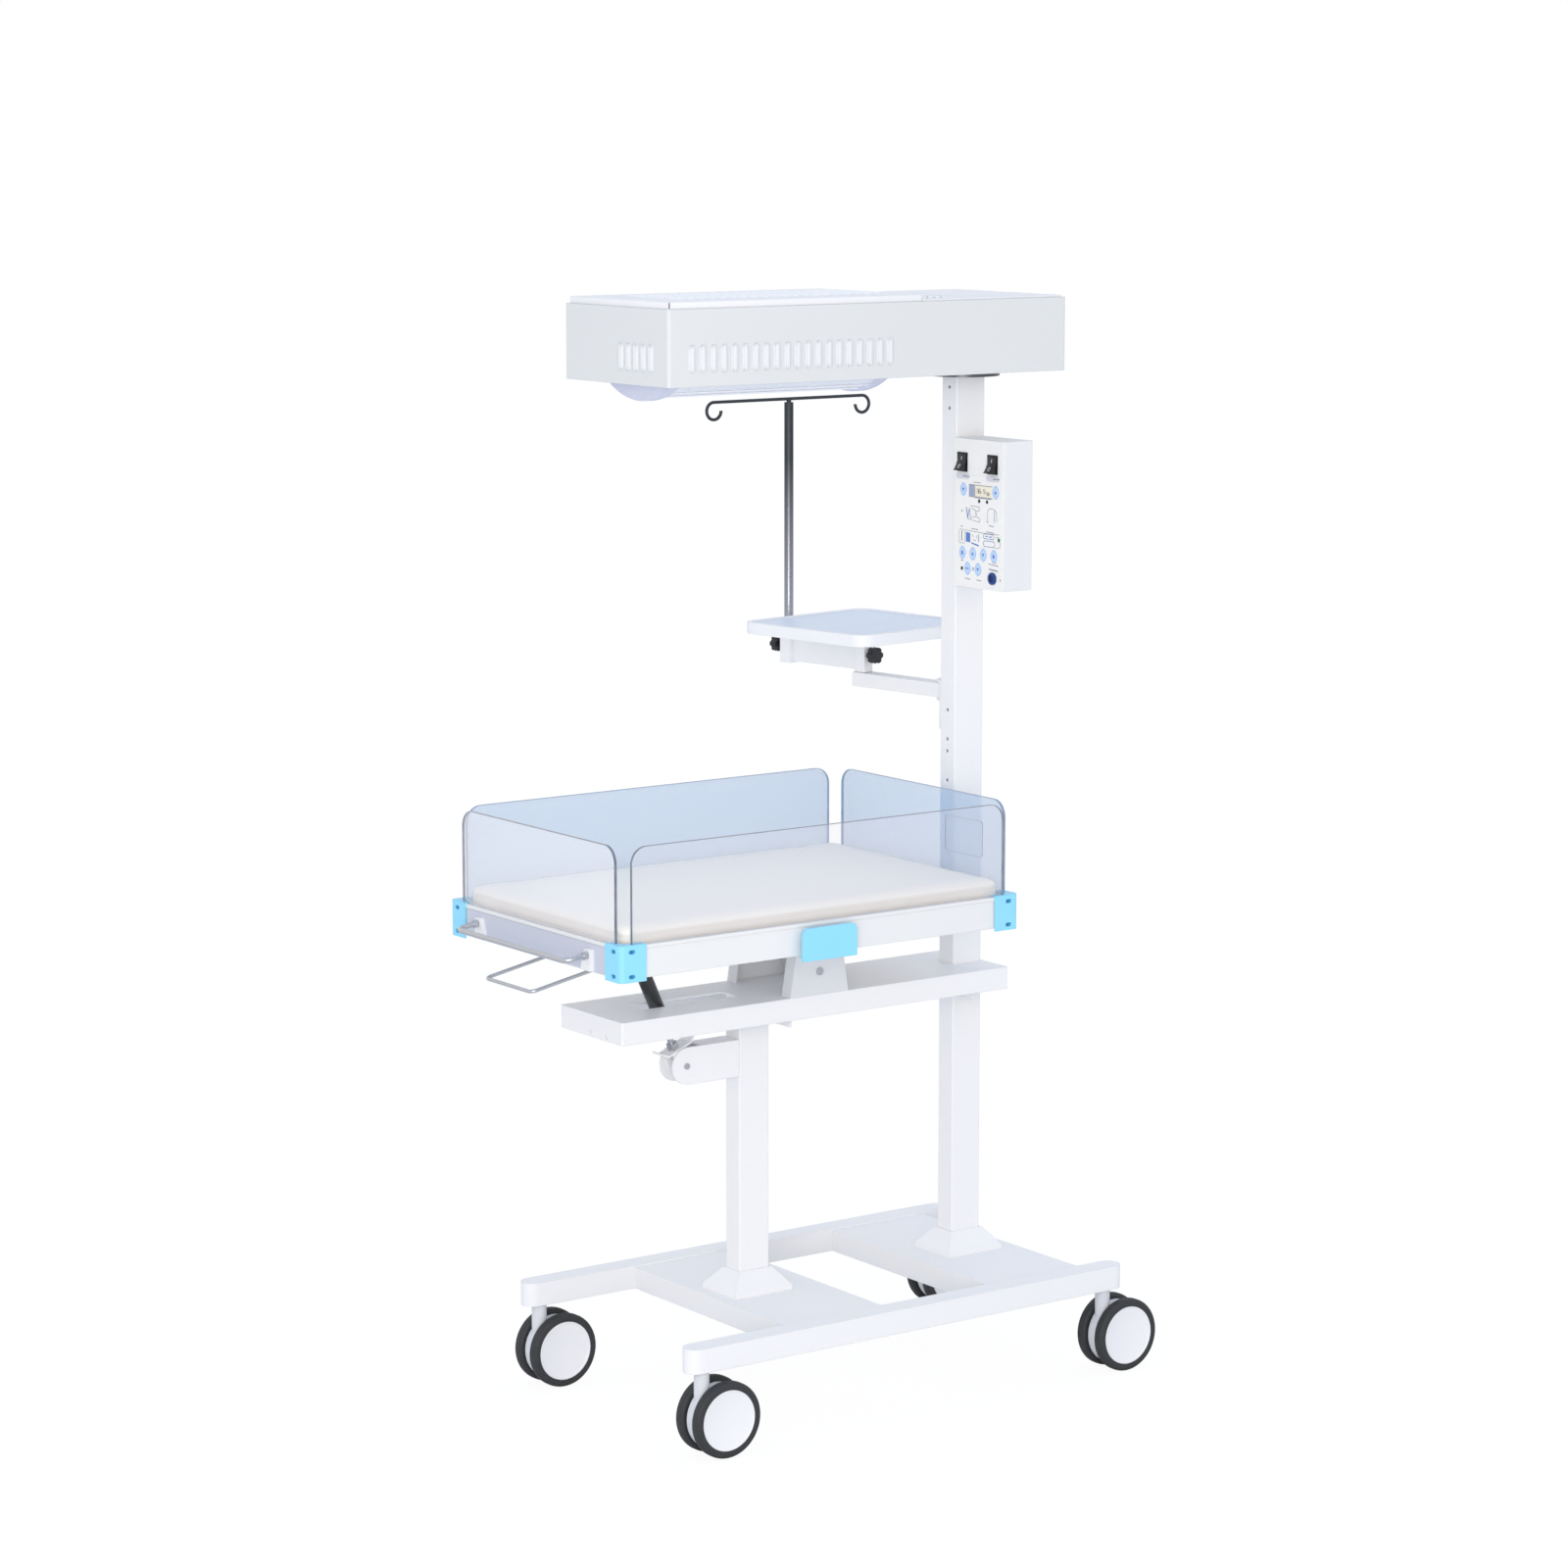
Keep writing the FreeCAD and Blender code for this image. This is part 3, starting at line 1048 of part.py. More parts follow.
armFoot = size.swingArmTop - size.swingArmHigh
lugs = newBody("arm_bracket", size.armPivotX, 0, 0)
lugHead = size.swingArmTop + size.earClear + size.lugEar
addSlab(lugs, "XZ", halfThick, halfThick + size.lugPlate,
        box(-size.lugHalfX, size.lugHalfX, size.lugPlateFoot, lugHead, size.lugRound))
earReach = size.swingArmWide / 2
for low, high in ((armFoot - size.earClear - size.lugEar, armFoot - size.earClear),
                  (size.swingArmTop + size.earClear, lugHead)):
    earRoot = halfThick + size.lugPlate / 2
    earTip = size.armPivotY + earReach
    round = earReach - halfTurnGap
    addSlab(lugs, "XY", low, high, [
        (-earReach, earRoot), (earReach, earRoot), (earReach, earTip, round), (-earReach, earTip, round)])
    cutSlab(lugs, "XY", low, high, (0, size.armPivotY, size.trayPinRadius + size.runFit))
addSlab(pins, "XY", armFoot - size.earClear - size.lugEar - size.pinEnd, lugHead + size.pinEnd,
        (size.armPivotX, size.armPivotY, size.trayPinRadius))

swing = newBody("swing_arm", size.armPivotX, size.armPivotY, 0, trayTurn)
halfArm = size.swingArmWide / 2
armEnd = size.swingArmLong + size.blockLong / 2
round = halfArm - halfTurnGap
addSlab(swing, "XY", armFoot, size.swingArmTop, [
    (-halfArm, -halfArm, round), (halfArm, -halfArm, round), (halfArm, armEnd), (-halfArm, armEnd)])
cutSlab(swing, "XY", armFoot, size.swingArmTop, (0, 0, size.trayPinRadius + size.runFit))
pivotTop = size.carrierFoot + size.pivotHigh
addSlab(swing, "XY", size.swingArmTop, pivotTop, (0, size.swingArmLong, size.pivotPin))

postX, postY = alongArm(size.swingArmLong)
trayFoot = size.trayTop - size.trayThick
carrier = newBody("tray_beam", postX, postY, 0, trayTurn)
blockHalf = size.blockLong / 2
blockSide = size.blockWide / 2
for middle in (asSize(0), size.beamSpan):
    addSlab(carrier, "XY", size.carrierFoot, trayFoot, box(
        -blockSide, blockSide, middle - blockHalf, middle + blockHalf, size.carrierRound))
addSlab(carrier, "XY", size.webFoot, trayFoot, box(0, size.webThick, 0, size.beamSpan))
cutSlab(carrier, "XY", size.carrierFoot, pivotTop + size.pivotEnd, (0, 0, size.pivotPin + size.runFit))
cutSlab(carrier, "XY", size.carrierFoot, trayFoot, (0, size.beamSpan, size.poleRadius + size.runFit))

tray = newBody("tray", *alongArm(size.swingArmLong + size.traySet), 0, trayTurn)
reach = size.traySide / 2
addSlab(tray, "XY", trayFoot, size.trayTop, box(-reach, reach, -reach, reach, size.trayRound))
inner = reach - size.trayRim
cutSlab(tray, "XY", size.trayTop - size.trayDish, size.trayTop,
        box(-inner, inner, -inner, inner, size.trayRound - size.trayRim))

knobs = (("tray_knob", -1, asSize(0), size.pivotPin), ("pole_knob", 1, size.beamSpan, size.poleRadius))
for label, side, middle, shaft in knobs:
    x, y = alongArm(size.swingArmLong + middle)
    knob = newBody(label, x, y, size.knobZ, trayTurn)
    face = side * (blockHalf + size.knobStandoff)
    crown = face + side * size.knobThick
    addSlab(knob, "XZ", *ordered(face, crown), (0, 0, size.knobRadius))
    notch = cutSlab(knob, "XZ", *ordered(face, crown),
                    (0, size.knobRadius + size.lobeOut, size.lobeRadius))
    ring = knob.newObject("PartDesign::PolarPattern", "Lobes")
    ring.Originals = [notch]
    ring.Axis = (notch.Profile[0], ["N_Axis"])
    ring.Angle = 360
    bind(ring, "Occurrences", size.knobLobes)
    knob.Tip = ring
    stemEnd = side * (shaft + 2 * size.runFit)
    addSlab(knob, "XZ", *ordered(face, stemEnd), (0, 0, size.knobStem))
    cutSlab(carrier, "XZ", *ordered(middle + stemEnd, middle + side * blockHalf),
            (0, size.knobZ, size.knobStem + size.runFit))

poleX, poleY = alongArm(size.swingArmLong + size.beamSpan)
pole = newBody("iv_pole", poleX, poleY, 0)
addSlab(pole, "XY", size.poleFoot, size.poleTop, (0, 0, size.poleRadius))
addSlab(pole, "XY", size.poleTop, size.hookZ, (0, 0, size.hookNeck))
curl = size.hookCurl
round = curl - halfTurnGap
hookEnd = size.hookHalf - curl
hookTip = size.hookHalf + curl
hookLow = size.hookZ - 2 * curl
hookLip = hookLow + curl
addRod(pole, "XZ", 0, [
    (-hookEnd, hookLip), (-hookEnd, hookLow, round), (-hookTip, hookLow, round),
    (-hookTip, size.hookZ, round), (hookTip, size.hookZ, round), (hookTip, hookLow, round),
    (hookEnd, hookLow, round), (hookEnd, hookLip)],
    "XY", hookLip, (-hookEnd, 0), size.hookRadius)

doc.recompute()
faults = [thing.Label for thing in doc.Objects if "Invalid" in thing.State or "Error" in thing.State]
if faults:
    raise RuntimeError(f"not computed: {faults}")
for part in subParts:
    if part.Shape.isNull() or not part.Shape.isValid():
        raise RuntimeError(f"{part.Label} has no valid shape")
os.makedirs("parts", exist_ok=True)
for part in subParts:
    part.Shape.exportStep(f"parts/{part.Label}.step")
print(f"{len(subParts)} sub-parts written")
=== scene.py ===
import math

import bmesh
import bpy
from mathutils import Matrix, Vector


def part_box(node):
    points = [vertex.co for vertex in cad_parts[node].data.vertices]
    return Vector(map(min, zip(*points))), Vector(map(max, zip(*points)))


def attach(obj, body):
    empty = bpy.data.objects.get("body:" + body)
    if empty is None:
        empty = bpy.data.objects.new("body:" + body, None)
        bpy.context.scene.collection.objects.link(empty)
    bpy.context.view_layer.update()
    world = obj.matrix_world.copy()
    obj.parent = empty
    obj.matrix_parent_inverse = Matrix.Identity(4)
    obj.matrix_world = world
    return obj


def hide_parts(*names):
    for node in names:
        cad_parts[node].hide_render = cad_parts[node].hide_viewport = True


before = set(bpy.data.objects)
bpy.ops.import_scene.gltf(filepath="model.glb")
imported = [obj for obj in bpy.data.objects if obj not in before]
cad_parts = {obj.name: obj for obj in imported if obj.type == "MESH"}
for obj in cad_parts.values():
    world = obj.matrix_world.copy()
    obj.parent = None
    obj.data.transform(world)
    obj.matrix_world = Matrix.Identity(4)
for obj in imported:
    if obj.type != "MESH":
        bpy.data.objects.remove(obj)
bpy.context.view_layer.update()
print("frame loaded")

# Every place below is measured from the middle of the wheeled base, as in the drawing.
columnLow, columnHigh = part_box("main_column")
baseMiddle = Vector(((columnLow.x + columnHigh.x) / 2 - 0.289, (columnLow.y + columnHigh.y) / 2, 0))
millimetre = 0.001


def at(x, y, z):
    return baseMiddle + Vector((x, y, z)) * millimetre


# Shader helpers

class Reading:  # one output of a node, with the usual signs for sums
    def __init__(self, owner, socket):
        self.owner = owner
        self.socket = socket

    def combine(self, operation, first, second):
        return self.owner.node("ShaderNodeMath", {"operation": operation}, {0: first, 1: second})

    def __add__(self, other):
        return self.combine("ADD", self, other)

    def __radd__(self, other):
        return self.combine("ADD", other, self)

    def __sub__(self, other):
        return self.combine("SUBTRACT", self, other)

    def __rsub__(self, other):
        return self.combine("SUBTRACT", other, self)

    def __mul__(self, other):
        return self.combine("MULTIPLY", self, other)

    def __rmul__(self, other):
        return self.combine("MULTIPLY", other, self)

    def __truediv__(self, other):
        return self.combine("DIVIDE", self, other)


class Nodes:  # a tree that is filled through one method
    def __init__(self, tree):
        self.tree = tree

    def node(self, kind, settings=None, sockets=None, output=0):
        made = self.tree.nodes.new(kind)
        for name, value in (settings or {}).items():
            if name == "stops":
                ramp = made.color_ramp
                while len(ramp.elements) < len(value):
                    ramp.elements.new(0.5)
                for element, (place, colour) in zip(ramp.elements, value):
                    element.position = place
                    element.color = (*colour, 1)
            else:
                setattr(made, name, value)
        for name, value in (sockets or {}).items():
            if isinstance(value, Reading):
                self.tree.links.new(value.socket, made.inputs[name])
            else:
                made.inputs[name].default_value = value
        return None if output is None else Reading(self, made.outputs[output])


class Finish(Nodes):  # one material being mixed
    def __init__(self, name, **fixed):
        self.material = bpy.data.materials.new(name)
        self.material.use_nodes = True
        super().__init__(self.material.node_tree)
        self.shader = self.tree.nodes["Principled BSDF"]
        for socket, value in fixed.items():
            self.shader.inputs[socket.replace("_", " ")].default_value = value

    def feed(self, socket, value):
        self.tree.links.new(value.socket, self.shader.inputs[socket])

    def place(self):
        return self.node("ShaderNodeTexCoord", output="Object")

    def stretched(self, scale):
        return self.node("ShaderNodeMapping", None, {"Vector": self.place(), "Scale": scale})

    def noise(self, scale, detail=2.0, where=None):
        where = where or self.place()
        return self.node("ShaderNodeTexNoise", None, {"Vector": where, "Scale": scale, "Detail": detail})

    def blend(self, factor, first, second):
        return self.node("ShaderNodeMix", {"data_type": "RGBA"}, {0: factor, 6: first, 7: second}, output=2)

    def relief(self, height, distance, strength=1.0, edge=0.0):
        sockets = {"Height": height, "Distance": distance, "Strength": strength}
        if edge:
            sockets["Normal"] = self.node("ShaderNodeBevel", {"samples": 4}, {"Radius": edge})
        self.feed("Normal", self.node("ShaderNodeBump", None, sockets))


def rgb(red, green, blue):
    parts = []
    for value in (red / 255, green / 255, blue / 255):
        parts.append(value / 12.92 if value <= 0.04045 else ((value + 0.055) / 1.055) ** 2.4)
    return (*parts, 1.0)


# Finishes

def powderCoat(name, colour, shade, gloss=0.4):
    finish = Finish(name, Specular_IOR_Level=0.45)
    cloud = finish.noise(4.0)
    finish.feed("Base Color", finish.blend(cloud, colour, shade))
    finish.feed("Roughness", gloss - 0.04 + 0.08 * finish.noise(35.0))
    finish.relief(finish.noise(650.0, 1.0), 0.0002, 0.12, edge=0.0014)
    return finish.material


def mouldedPlastic(name, colour, shade, gloss=0.45, grain=1400.0, depth=0.15):
    finish = Finish(name)
    finish.feed("Base Color", finish.blend(finish.noise(12.0), colour, shade))
    finish.feed("Roughness", gloss - 0.03 + 0.08 * finish.noise(60.0))
    finish.relief(finish.noise(grain, 2.0), 0.00015, depth, edge=0.0008)
    return finish.material


def satinMetal(name, colour, shade, gloss, stretch):
    finish = Finish(name, Metallic=1.0)
    lines = finish.noise(1.0, 3.0, finish.stretched(stretch))
    finish.feed("Base Color", finish.blend(lines, colour, shade))
    finish.feed("Roughness", gloss + 0.12 * lines)
    finish.relief(lines, 0.00005, 0.15, edge=0.0006)
    return finish.material


hoodPaint = powderCoat("hoodPaint", rgb(226, 228, 228), rgb(222, 224, 225))
panPaint = powderCoat("panPaint", rgb(236, 236, 236), rgb(232, 233, 234))
# Darker than the white paint: painted shade on the tilt brackets.
bracketShadedPaint = powderCoat("bracketShadedPaint", rgb(224, 225, 228), rgb(219, 221, 225))
boxPaint = powderCoat("boxPaint", rgb(236, 237, 238), rgb(232, 233, 236))
whitePaint = powderCoat("whitePaint", rgb(244, 244, 245), rgb(241, 241, 243))
trayWhite = mouldedPlastic("trayWhite", rgb(245, 246, 249), rgb(240, 242, 246), 0.34)
casterGrey = mouldedPlastic("casterGrey", rgb(226, 228, 233), rgb(219, 221, 227), 0.45)
hubWhite = mouldedPlastic("hubWhite", rgb(244, 244, 246), rgb(240, 240, 243), 0.42)
skyPlastic = mouldedPlastic("skyPlastic", rgb(150, 225, 254), rgb(143, 220, 252), 0.38, 900.0)
blackPlastic = mouldedPlastic("blackPlastic", rgb(24, 24, 27), rgb(30, 30, 34), 0.4, 700.0, 0.3)
tyreRubber = mouldedPlastic("tyreRubber", rgb(42, 43, 46), rgb(52, 53, 56), 0.62, 500.0, 0.4)
fasciaFilm = mouldedPlastic("fasciaFilm", rgb(247, 246, 244), rgb(244, 243, 242), 0.5, 1800.0, 0.1)
windowCream = mouldedPlastic("windowCream", rgb(250, 244, 222), rgb(244, 238, 216), 0.18, 300.0, 0.02)
boardGreen = mouldedPlastic("boardGreen", rgb(28, 92, 52), rgb(22, 80, 45), 0.4)
socketBlue = mouldedPlastic("socketBlue", rgb(10, 72, 150), rgb(6, 58, 128), 0.3)
rodSteel = satinMetal("rodSteel", (0.66, 0.66, 0.68, 1), (0.52, 0.52, 0.54, 1), 0.24, (900, 60, 900))
pinSteel = satinMetal("pinSteel", (0.60, 0.60, 0.62, 1), (0.48, 0.48, 0.50, 1), 0.28, (500, 500, 500))
discSteel = satinMetal("discSteel", (0.16, 0.16, 0.17, 1), (0.11, 0.11, 0.12, 1), 0.3, (400, 400, 400))
mirrorMetal = satinMetal("mirrorMetal", (0.86, 0.87, 0.88, 1), (0.80, 0.81, 0.82, 1), 0.12, (40, 700, 700))


def polishedPole():
    # The pole is dark towards its top and bright towards its foot: a dark coat above, and the gradient between them
    # is painted reflection.
    finish = Finish("polishedPole", Metallic=1.0)
    height = finish.node("ShaderNodeSeparateXYZ", None, {0: finish.place()}, output=2)
    lines = finish.noise(1.0, 3.0, finish.stretched((900, 900, 20)))
    stops = [(0.0, (0.50, 0.50, 0.53)), (0.4, (0.26, 0.26, 0.29)), (0.75, (0.07, 0.075, 0.085))]
    share = (height - 1.2) / 0.42
    coatAndReflectionTone = finish.node("ShaderNodeValToRGB", {"stops": stops}, {0: share})
    finish.feed("Base Color", coatAndReflectionTone)
    finish.feed("Roughness", 0.16 + 0.08 * lines + 0.3 * share)
    return finish.material


poleSteel = polishedPole()
shadeLilac = mouldedPlastic("shadeLilac", rgb(216, 219, 236), rgb(208, 212, 231), 0.28, 900.0, 0.05)
shadeWhite = mouldedPlastic("shadeWhite", rgb(244, 245, 250), rgb(236, 238, 246), 0.25, 500.0, 0.04)


def glossBlack():
    finish = Finish("glossBlack", Coat_Weight=0.6, Coat_Roughness=0.06)
    finish.feed("Base Color", finish.blend(finish.noise(20.0), rgb(16, 16, 18), rgb(24, 24, 27)))
    finish.feed("Roughness", 0.2 + 0.06 * finish.noise(80.0))
    return finish.material


def clearSheet(name, colour, weight):
    # The sheet is mostly clear, with a little of the given tint; on the front panel that near-white tint is a
    # painted reflection.
    finish = Finish(name, Roughness=0.02, IOR=1.49, Transmission_Weight=0.0, Alpha=weight)
    finish.feed("Base Color", finish.blend(finish.noise(3.0), colour, colour))
    return finish.material


def quartz():
    finish = Finish("quartzWhite", Transmission_Weight=0.35, IOR=1.46)
    rings = finish.noise(1.0, 2.0, finish.stretched((260, 20, 20)))
    finish.feed("Base Color", finish.blend(rings, rgb(246, 246, 250), rgb(226, 228, 238)))
    finish.feed("Roughness", 0.16 + 0.1 * rings)
    return finish.material


def coatedCloth():
    finish = Finish("coatedCloth", Sheen_Weight=0.15, Sheen_Roughness=0.5)
    height = finish.node("ShaderNodeSeparateXYZ", None, {0: finish.place()}, output=2)
    # Painted shade: the sides below the top get a darker cream than the top.
    stops = [(0.0, (0.0, 0.0, 0.0)), (1.0, (1.0, 1.0, 1.0))]
    sideShadeMask = finish.node("ShaderNodeValToRGB", {"stops": stops}, {0: (height - 0.856) / 0.005})
    cover = finish.blend(finish.noise(5.0, 3.0), rgb(255, 252, 244), rgb(252, 248, 239))
    finish.feed("Base Color", finish.blend(sideShadeMask, rgb(242, 237, 227), cover))
    finish.feed("Roughness", 0.52 + 0.1 * finish.noise(30.0))
    finish.relief(finish.noise(1100.0, 3.0), 0.0002, 0.25)
    return finish.material


paintedNodes = [
    "base_rails", "cross_plates", "front_leg", "main_column", "post_collars", "support_beam",
    "tilt_brackets", "strut_arm", "bed_pan", "bed_underframe", "handle_brackets", "hood_shell",
    "hood_covers", "hood_hub", "control_box", "arm_bracket", "swing_arm", "tray_beam"]
nodeFinishes = {name: whitePaint for name in paintedNodes}
nodeFinishes["hood_shell"] = hoodPaint
nodeFinishes["tilt_brackets"] = bracketShadedPaint
nodeFinishes["control_box"] = boxPaint
nodeFinishes["bed_pan"] = panPaint
nodeFinishes.update({
    "hinge_pins": pinSteel, "strut_yoke": whitePaint, "strut_rod": pinSteel,
    "strut_cylinder": glossBlack(), "corner_blocks": skyPlastic, "side_grips": skyPlastic,
    "front_handle": rodSteel, "release_lever": rodSteel, "lever_hinges": pinSteel,
    "reflector": mirrorMetal, "heater_guard": shadeWhite, "heater_tube": quartz(),
    "swivel_base": discSteel, "control_fascia": fasciaFilm, "display_window": windowCream,
    "switch_bodies": blackPlastic, "heater_rocker": blackPlastic, "power_rocker": blackPlastic,
    "keypad_overlay": fasciaFilm, "probe_socket": socketBlue, "control_board": boardGreen,
    "tray": trayWhite, "tray_knob": blackPlastic, "pole_knob": blackPlastic, "iv_pole": poleSteel,
    "mattress": coatedCloth()})
for number in range(1, 5):
    nodeFinishes[f"caster_{number}_housing"] = casterGrey
    nodeFinishes[f"caster_{number}_hubs"] = hubWhite
    nodeFinishes[f"caster_{number}_tyres"] = tyreRubber
clearNear = clearSheet("clearNear", rgb(226, 222, 230), 0.13)
# The front panel's near-white tint is a painted reflection.
clearFrontReflection = clearSheet("clearFrontReflection", rgb(252, 249, 251), 0.24)
clearFar = clearSheet("clearFar", rgb(176, 204, 233), 0.38)
nodeFinishes["panel_near"] = clearNear
nodeFinishes["panel_front"] = clearFrontReflection
for name in ("panel_far", "panel_rear"):
    nodeFinishes[name] = clearFar
for name, finish in nodeFinishes.items():
    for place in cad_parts[name].material_slots:
        place.material = finish
print("finishes set")


# Mesh helpers

def addObject(name, data):
    made = bpy.data.objects.new(name, data)
    bpy.context.scene.collection.objects.link(made)
    return made


def pushOut(bm, faces, push):
    # The faces are drawn out into a solid, and the new corners are given back.
    made = bmesh.ops.extrude_face_region(bm, geom=faces)["geom"]
    moved = [item for item in made if isinstance(item, bmesh.types.BMVert)]
    bmesh.ops.translate(bm, vec=push, verts=moved)
    return moved


def roundEdges(bm, edges, width, segments=3):
    bmesh.ops.bevel(bm, geom=edges, offset=width, offset_type="OFFSET", segments=segments,
                    profile=0.5, affect="EDGES", clamp_overlap=True, material=-1)


def addBlock(bm, low, high, width=0.0, segments=3):
    size = high - low
    middle = (high + low) / 2
    place = Matrix.Translation(middle) @ Matrix.Diagonal((*size, 1))
    made = bmesh.ops.create_cube(bm, size=1, matrix=place)
    if width:
        edges = list({edge for vert in made["verts"] for edge in vert.link_edges})
        roundEdges(bm, edges, width, segments)


def addSpun(bm, profile, centre, axis, out, steps=48):
    # Each profile point is (distance from the axis, place along it).
    points = [bm.verts.new(centre + out * reach + axis * along) for reach, along in profile]
    edges = [bm.edges.new(pair) for pair in zip(points, points[1:])]
    bmesh.ops.spin(bm, geom=points + edges, angle=math.tau, steps=steps, axis=axis, cent=centre,
                   use_merge=True)


def putPiece(name, bm, finish, body, stands=(), sharp=35.0):
    bmesh.ops.remove_doubles(bm, verts=bm.verts, dist=0.00001)
    bmesh.ops.recalc_face_normals(bm, faces=bm.faces)
    mesh = bpy.data.meshes.new(name)
    bm.to_mesh(mesh)
    bm.free()
    mesh.shade_smooth()
    mesh.set_sharp_from_angle(angle=math.radians(sharp))
    piece = addObject(name, mesh)
    mesh.materials.append(finish)
    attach(piece, body)
    if stands:
        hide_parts(*stands)
    return piece


# Casters: rounded tyres and capped hubs

caster = {
    "wheelRadius": 0.0625, "tyreInner": 0.05, "inner": 0.013, "outer": 0.032, "shoulder": 0.006,
    "lipWide": 0.0022, "discSink": 0.0018,
}
radius, inner, outer = caster["wheelRadius"], caster["inner"], caster["outer"]
shoulder = caster["shoulder"]
arc = [(math.cos(math.radians(turn)), math.sin(math.radians(turn))) for turn in range(0, 91, 15)]
tyreProfile = [(caster["tyreInner"], inner)]
tyreProfile += [(radius - shoulder + shoulder * up, inner + shoulder - shoulder * side) for side, up in arc]
tyreProfile += [(radius - shoulder + shoulder * up, outer - shoulder + shoulder * side)
                for side, up in reversed(arc)]
tyreProfile += [(caster["tyreInner"] + 0.001, outer), (caster["tyreInner"], outer - 0.0008),
                (caster["tyreInner"], inner)]
hubEdge = caster["tyreInner"] - 0.0003
hubProfile = [(0.0, inner + 0.001), (hubEdge - 0.001, inner + 0.001), (hubEdge, inner + 0.002),
              (hubEdge, outer - 0.0009), (hubEdge - 0.0008, outer - 0.0001),
              (hubEdge - caster["lipWide"], outer - 0.0001),
              (hubEdge - caster["lipWide"] - 0.001, outer - caster["discSink"] + 0.0005),
              (hubEdge - caster["lipWide"] - 0.002, outer - caster["discSink"]),
              (0.0, outer - caster["discSink"] + 0.0004)]
for number in range(1, 5):
    low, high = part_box(f"caster_{number}_tyres")
    middle = (low + high) / 2
    tyres = bmesh.new()
    hubs = bmesh.new()
    for side in (-1, 1):
        addSpun(tyres, tyreProfile, middle, Vector((0, side, 0)), Vector((0, 0, 1)), 72)
        addSpun(hubs, hubProfile, middle, Vector((0, side, 0)), Vector((0, 0, 1)), 72)
    axle = [(0.0, -inner - 0.002), (0.005, -inner - 0.002), (0.005, inner + 0.002), (0.0, inner + 0.002)]
    addSpun(hubs, axle, middle, Vector((0, 1, 0)), Vector((0, 0, 1)), 24)
    putPiece(f"tyres{number}", tyres, tyreRubber, f"caster_{number}_wheels", [f"caster_{number}_tyres"])
    putPiece(f"hubs{number}", hubs, hubWhite, f"caster_{number}_wheels", [f"caster_{number}_hubs"])
print("casters done")


# Clear panels with polished edges, whose edge colour is painted reflection

panel = {"corner": 0.028, "polish": 0.0007}


def makePanel(name, node, body, finish, edgeReflection):
    low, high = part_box(node)
    flatAlongX = (high.x - low.x) > (high.y - low.y)
    bm = bmesh.new()
    if flatAlongX:
        farX, farY, push = high.x, low.y, Vector((0, high.y - low.y, 0))
    else:
        farX, farY, push = low.x, high.y, Vector((high.x - low.x, 0, 0))
    spots = [(low.x, low.y, low.z), (farX, farY, low.z), (farX, farY, high.z), (low.x, low.y, high.z)]
    verts = [bm.verts.new(spot) for spot in spots]
    face = bm.faces.new(verts)
    bmesh.ops.bevel(bm, geom=verts[2:], offset=panel["corner"], offset_type="OFFSET", segments=12,
                    profile=0.5, affect="VERTICES", clamp_overlap=True, material=-1)
    pushOut(bm, list(bm.faces), push)
    bmesh.ops.recalc_face_normals(bm, faces=bm.faces)
    across = push.normalized()
    rims = [edge for edge in bm.edges if len(edge.link_faces) == 2
            and any(abs(f.normal.dot(across)) > 0.9 for f in edge.link_faces)
            and any(abs(f.normal.dot(across)) < 0.1 for f in edge.link_faces)]
    roundEdges(bm, rims, panel["polish"], 2)
    bm.faces.ensure_lookup_table()
    piece = putPiece(name, bm, finish, body, [node], sharp=60.0)
    piece.data.materials.append(edgeReflection)
    for polygon in piece.data.polygons:
        if abs(polygon.normal.dot(across)) < 0.95:
            polygon.material_index = 1
    return piece


def polishedEdgeReflection(name, colour, shade):
    # The opaque edge colour is painted reflection: dark lines on the near and front panels, blue-grey on the far and
    # rear ones.
    finish = Finish(name, Alpha=1.0, IOR=1.49)
    finish.feed("Base Color", finish.blend(finish.noise(60.0), colour, shade))
    finish.feed("Roughness", 0.08 + 0.05 * finish.noise(200.0))
    return finish.material


edgeDarkReflection = polishedEdgeReflection("edgeDarkReflection", rgb(84, 90, 102), rgb(150, 158, 170))
edgeBlueReflection = polishedEdgeReflection("edgeBlueReflection", rgb(118, 138, 166), rgb(166, 184, 208))
makePanel("nearPanel", "panel_near", "near_panel", clearNear, edgeDarkReflection)
makePanel("farPanel", "panel_far", "far_panel", clearFar, edgeBlueReflection)
makePanel("frontPanel", "panel_front", "front_panel", clearFrontReflection, edgeDarkReflection)
makePanel("rearPanel", "panel_rear", "rear_panel", clearFar, edgeBlueReflection)
print("panels done")


# Mattress: a foam pad in coated cloth, swollen a little by a cloth simulation

mattress = {
    "shrink": 0.002, "voxel": 0.006, "pressure": 3.0, "cap": 0.003, "lastFrame": 20,
    "seamDrop": 0.016, "seamWide": 0.005, "seamDeep": 0.0012,
}


def copyNode(node, name):
    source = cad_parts[node]
    bm = bmesh.new()
    bm.from_mesh(source.data)
    bmesh.ops.remove_doubles(bm, verts=bm.verts, dist=0.00001)
    mesh = bpy.data.meshes.new(name)
    bm.to_mesh(mesh)
    bm.free()
    return addObject(name, mesh)


def applyModifiers(piece):
    shaped = bpy.data.meshes.new_from_object(piece.evaluated_get(bpy.context.evaluated_depsgraph_get()))
    piece.modifiers.clear()
    piece.data = shaped


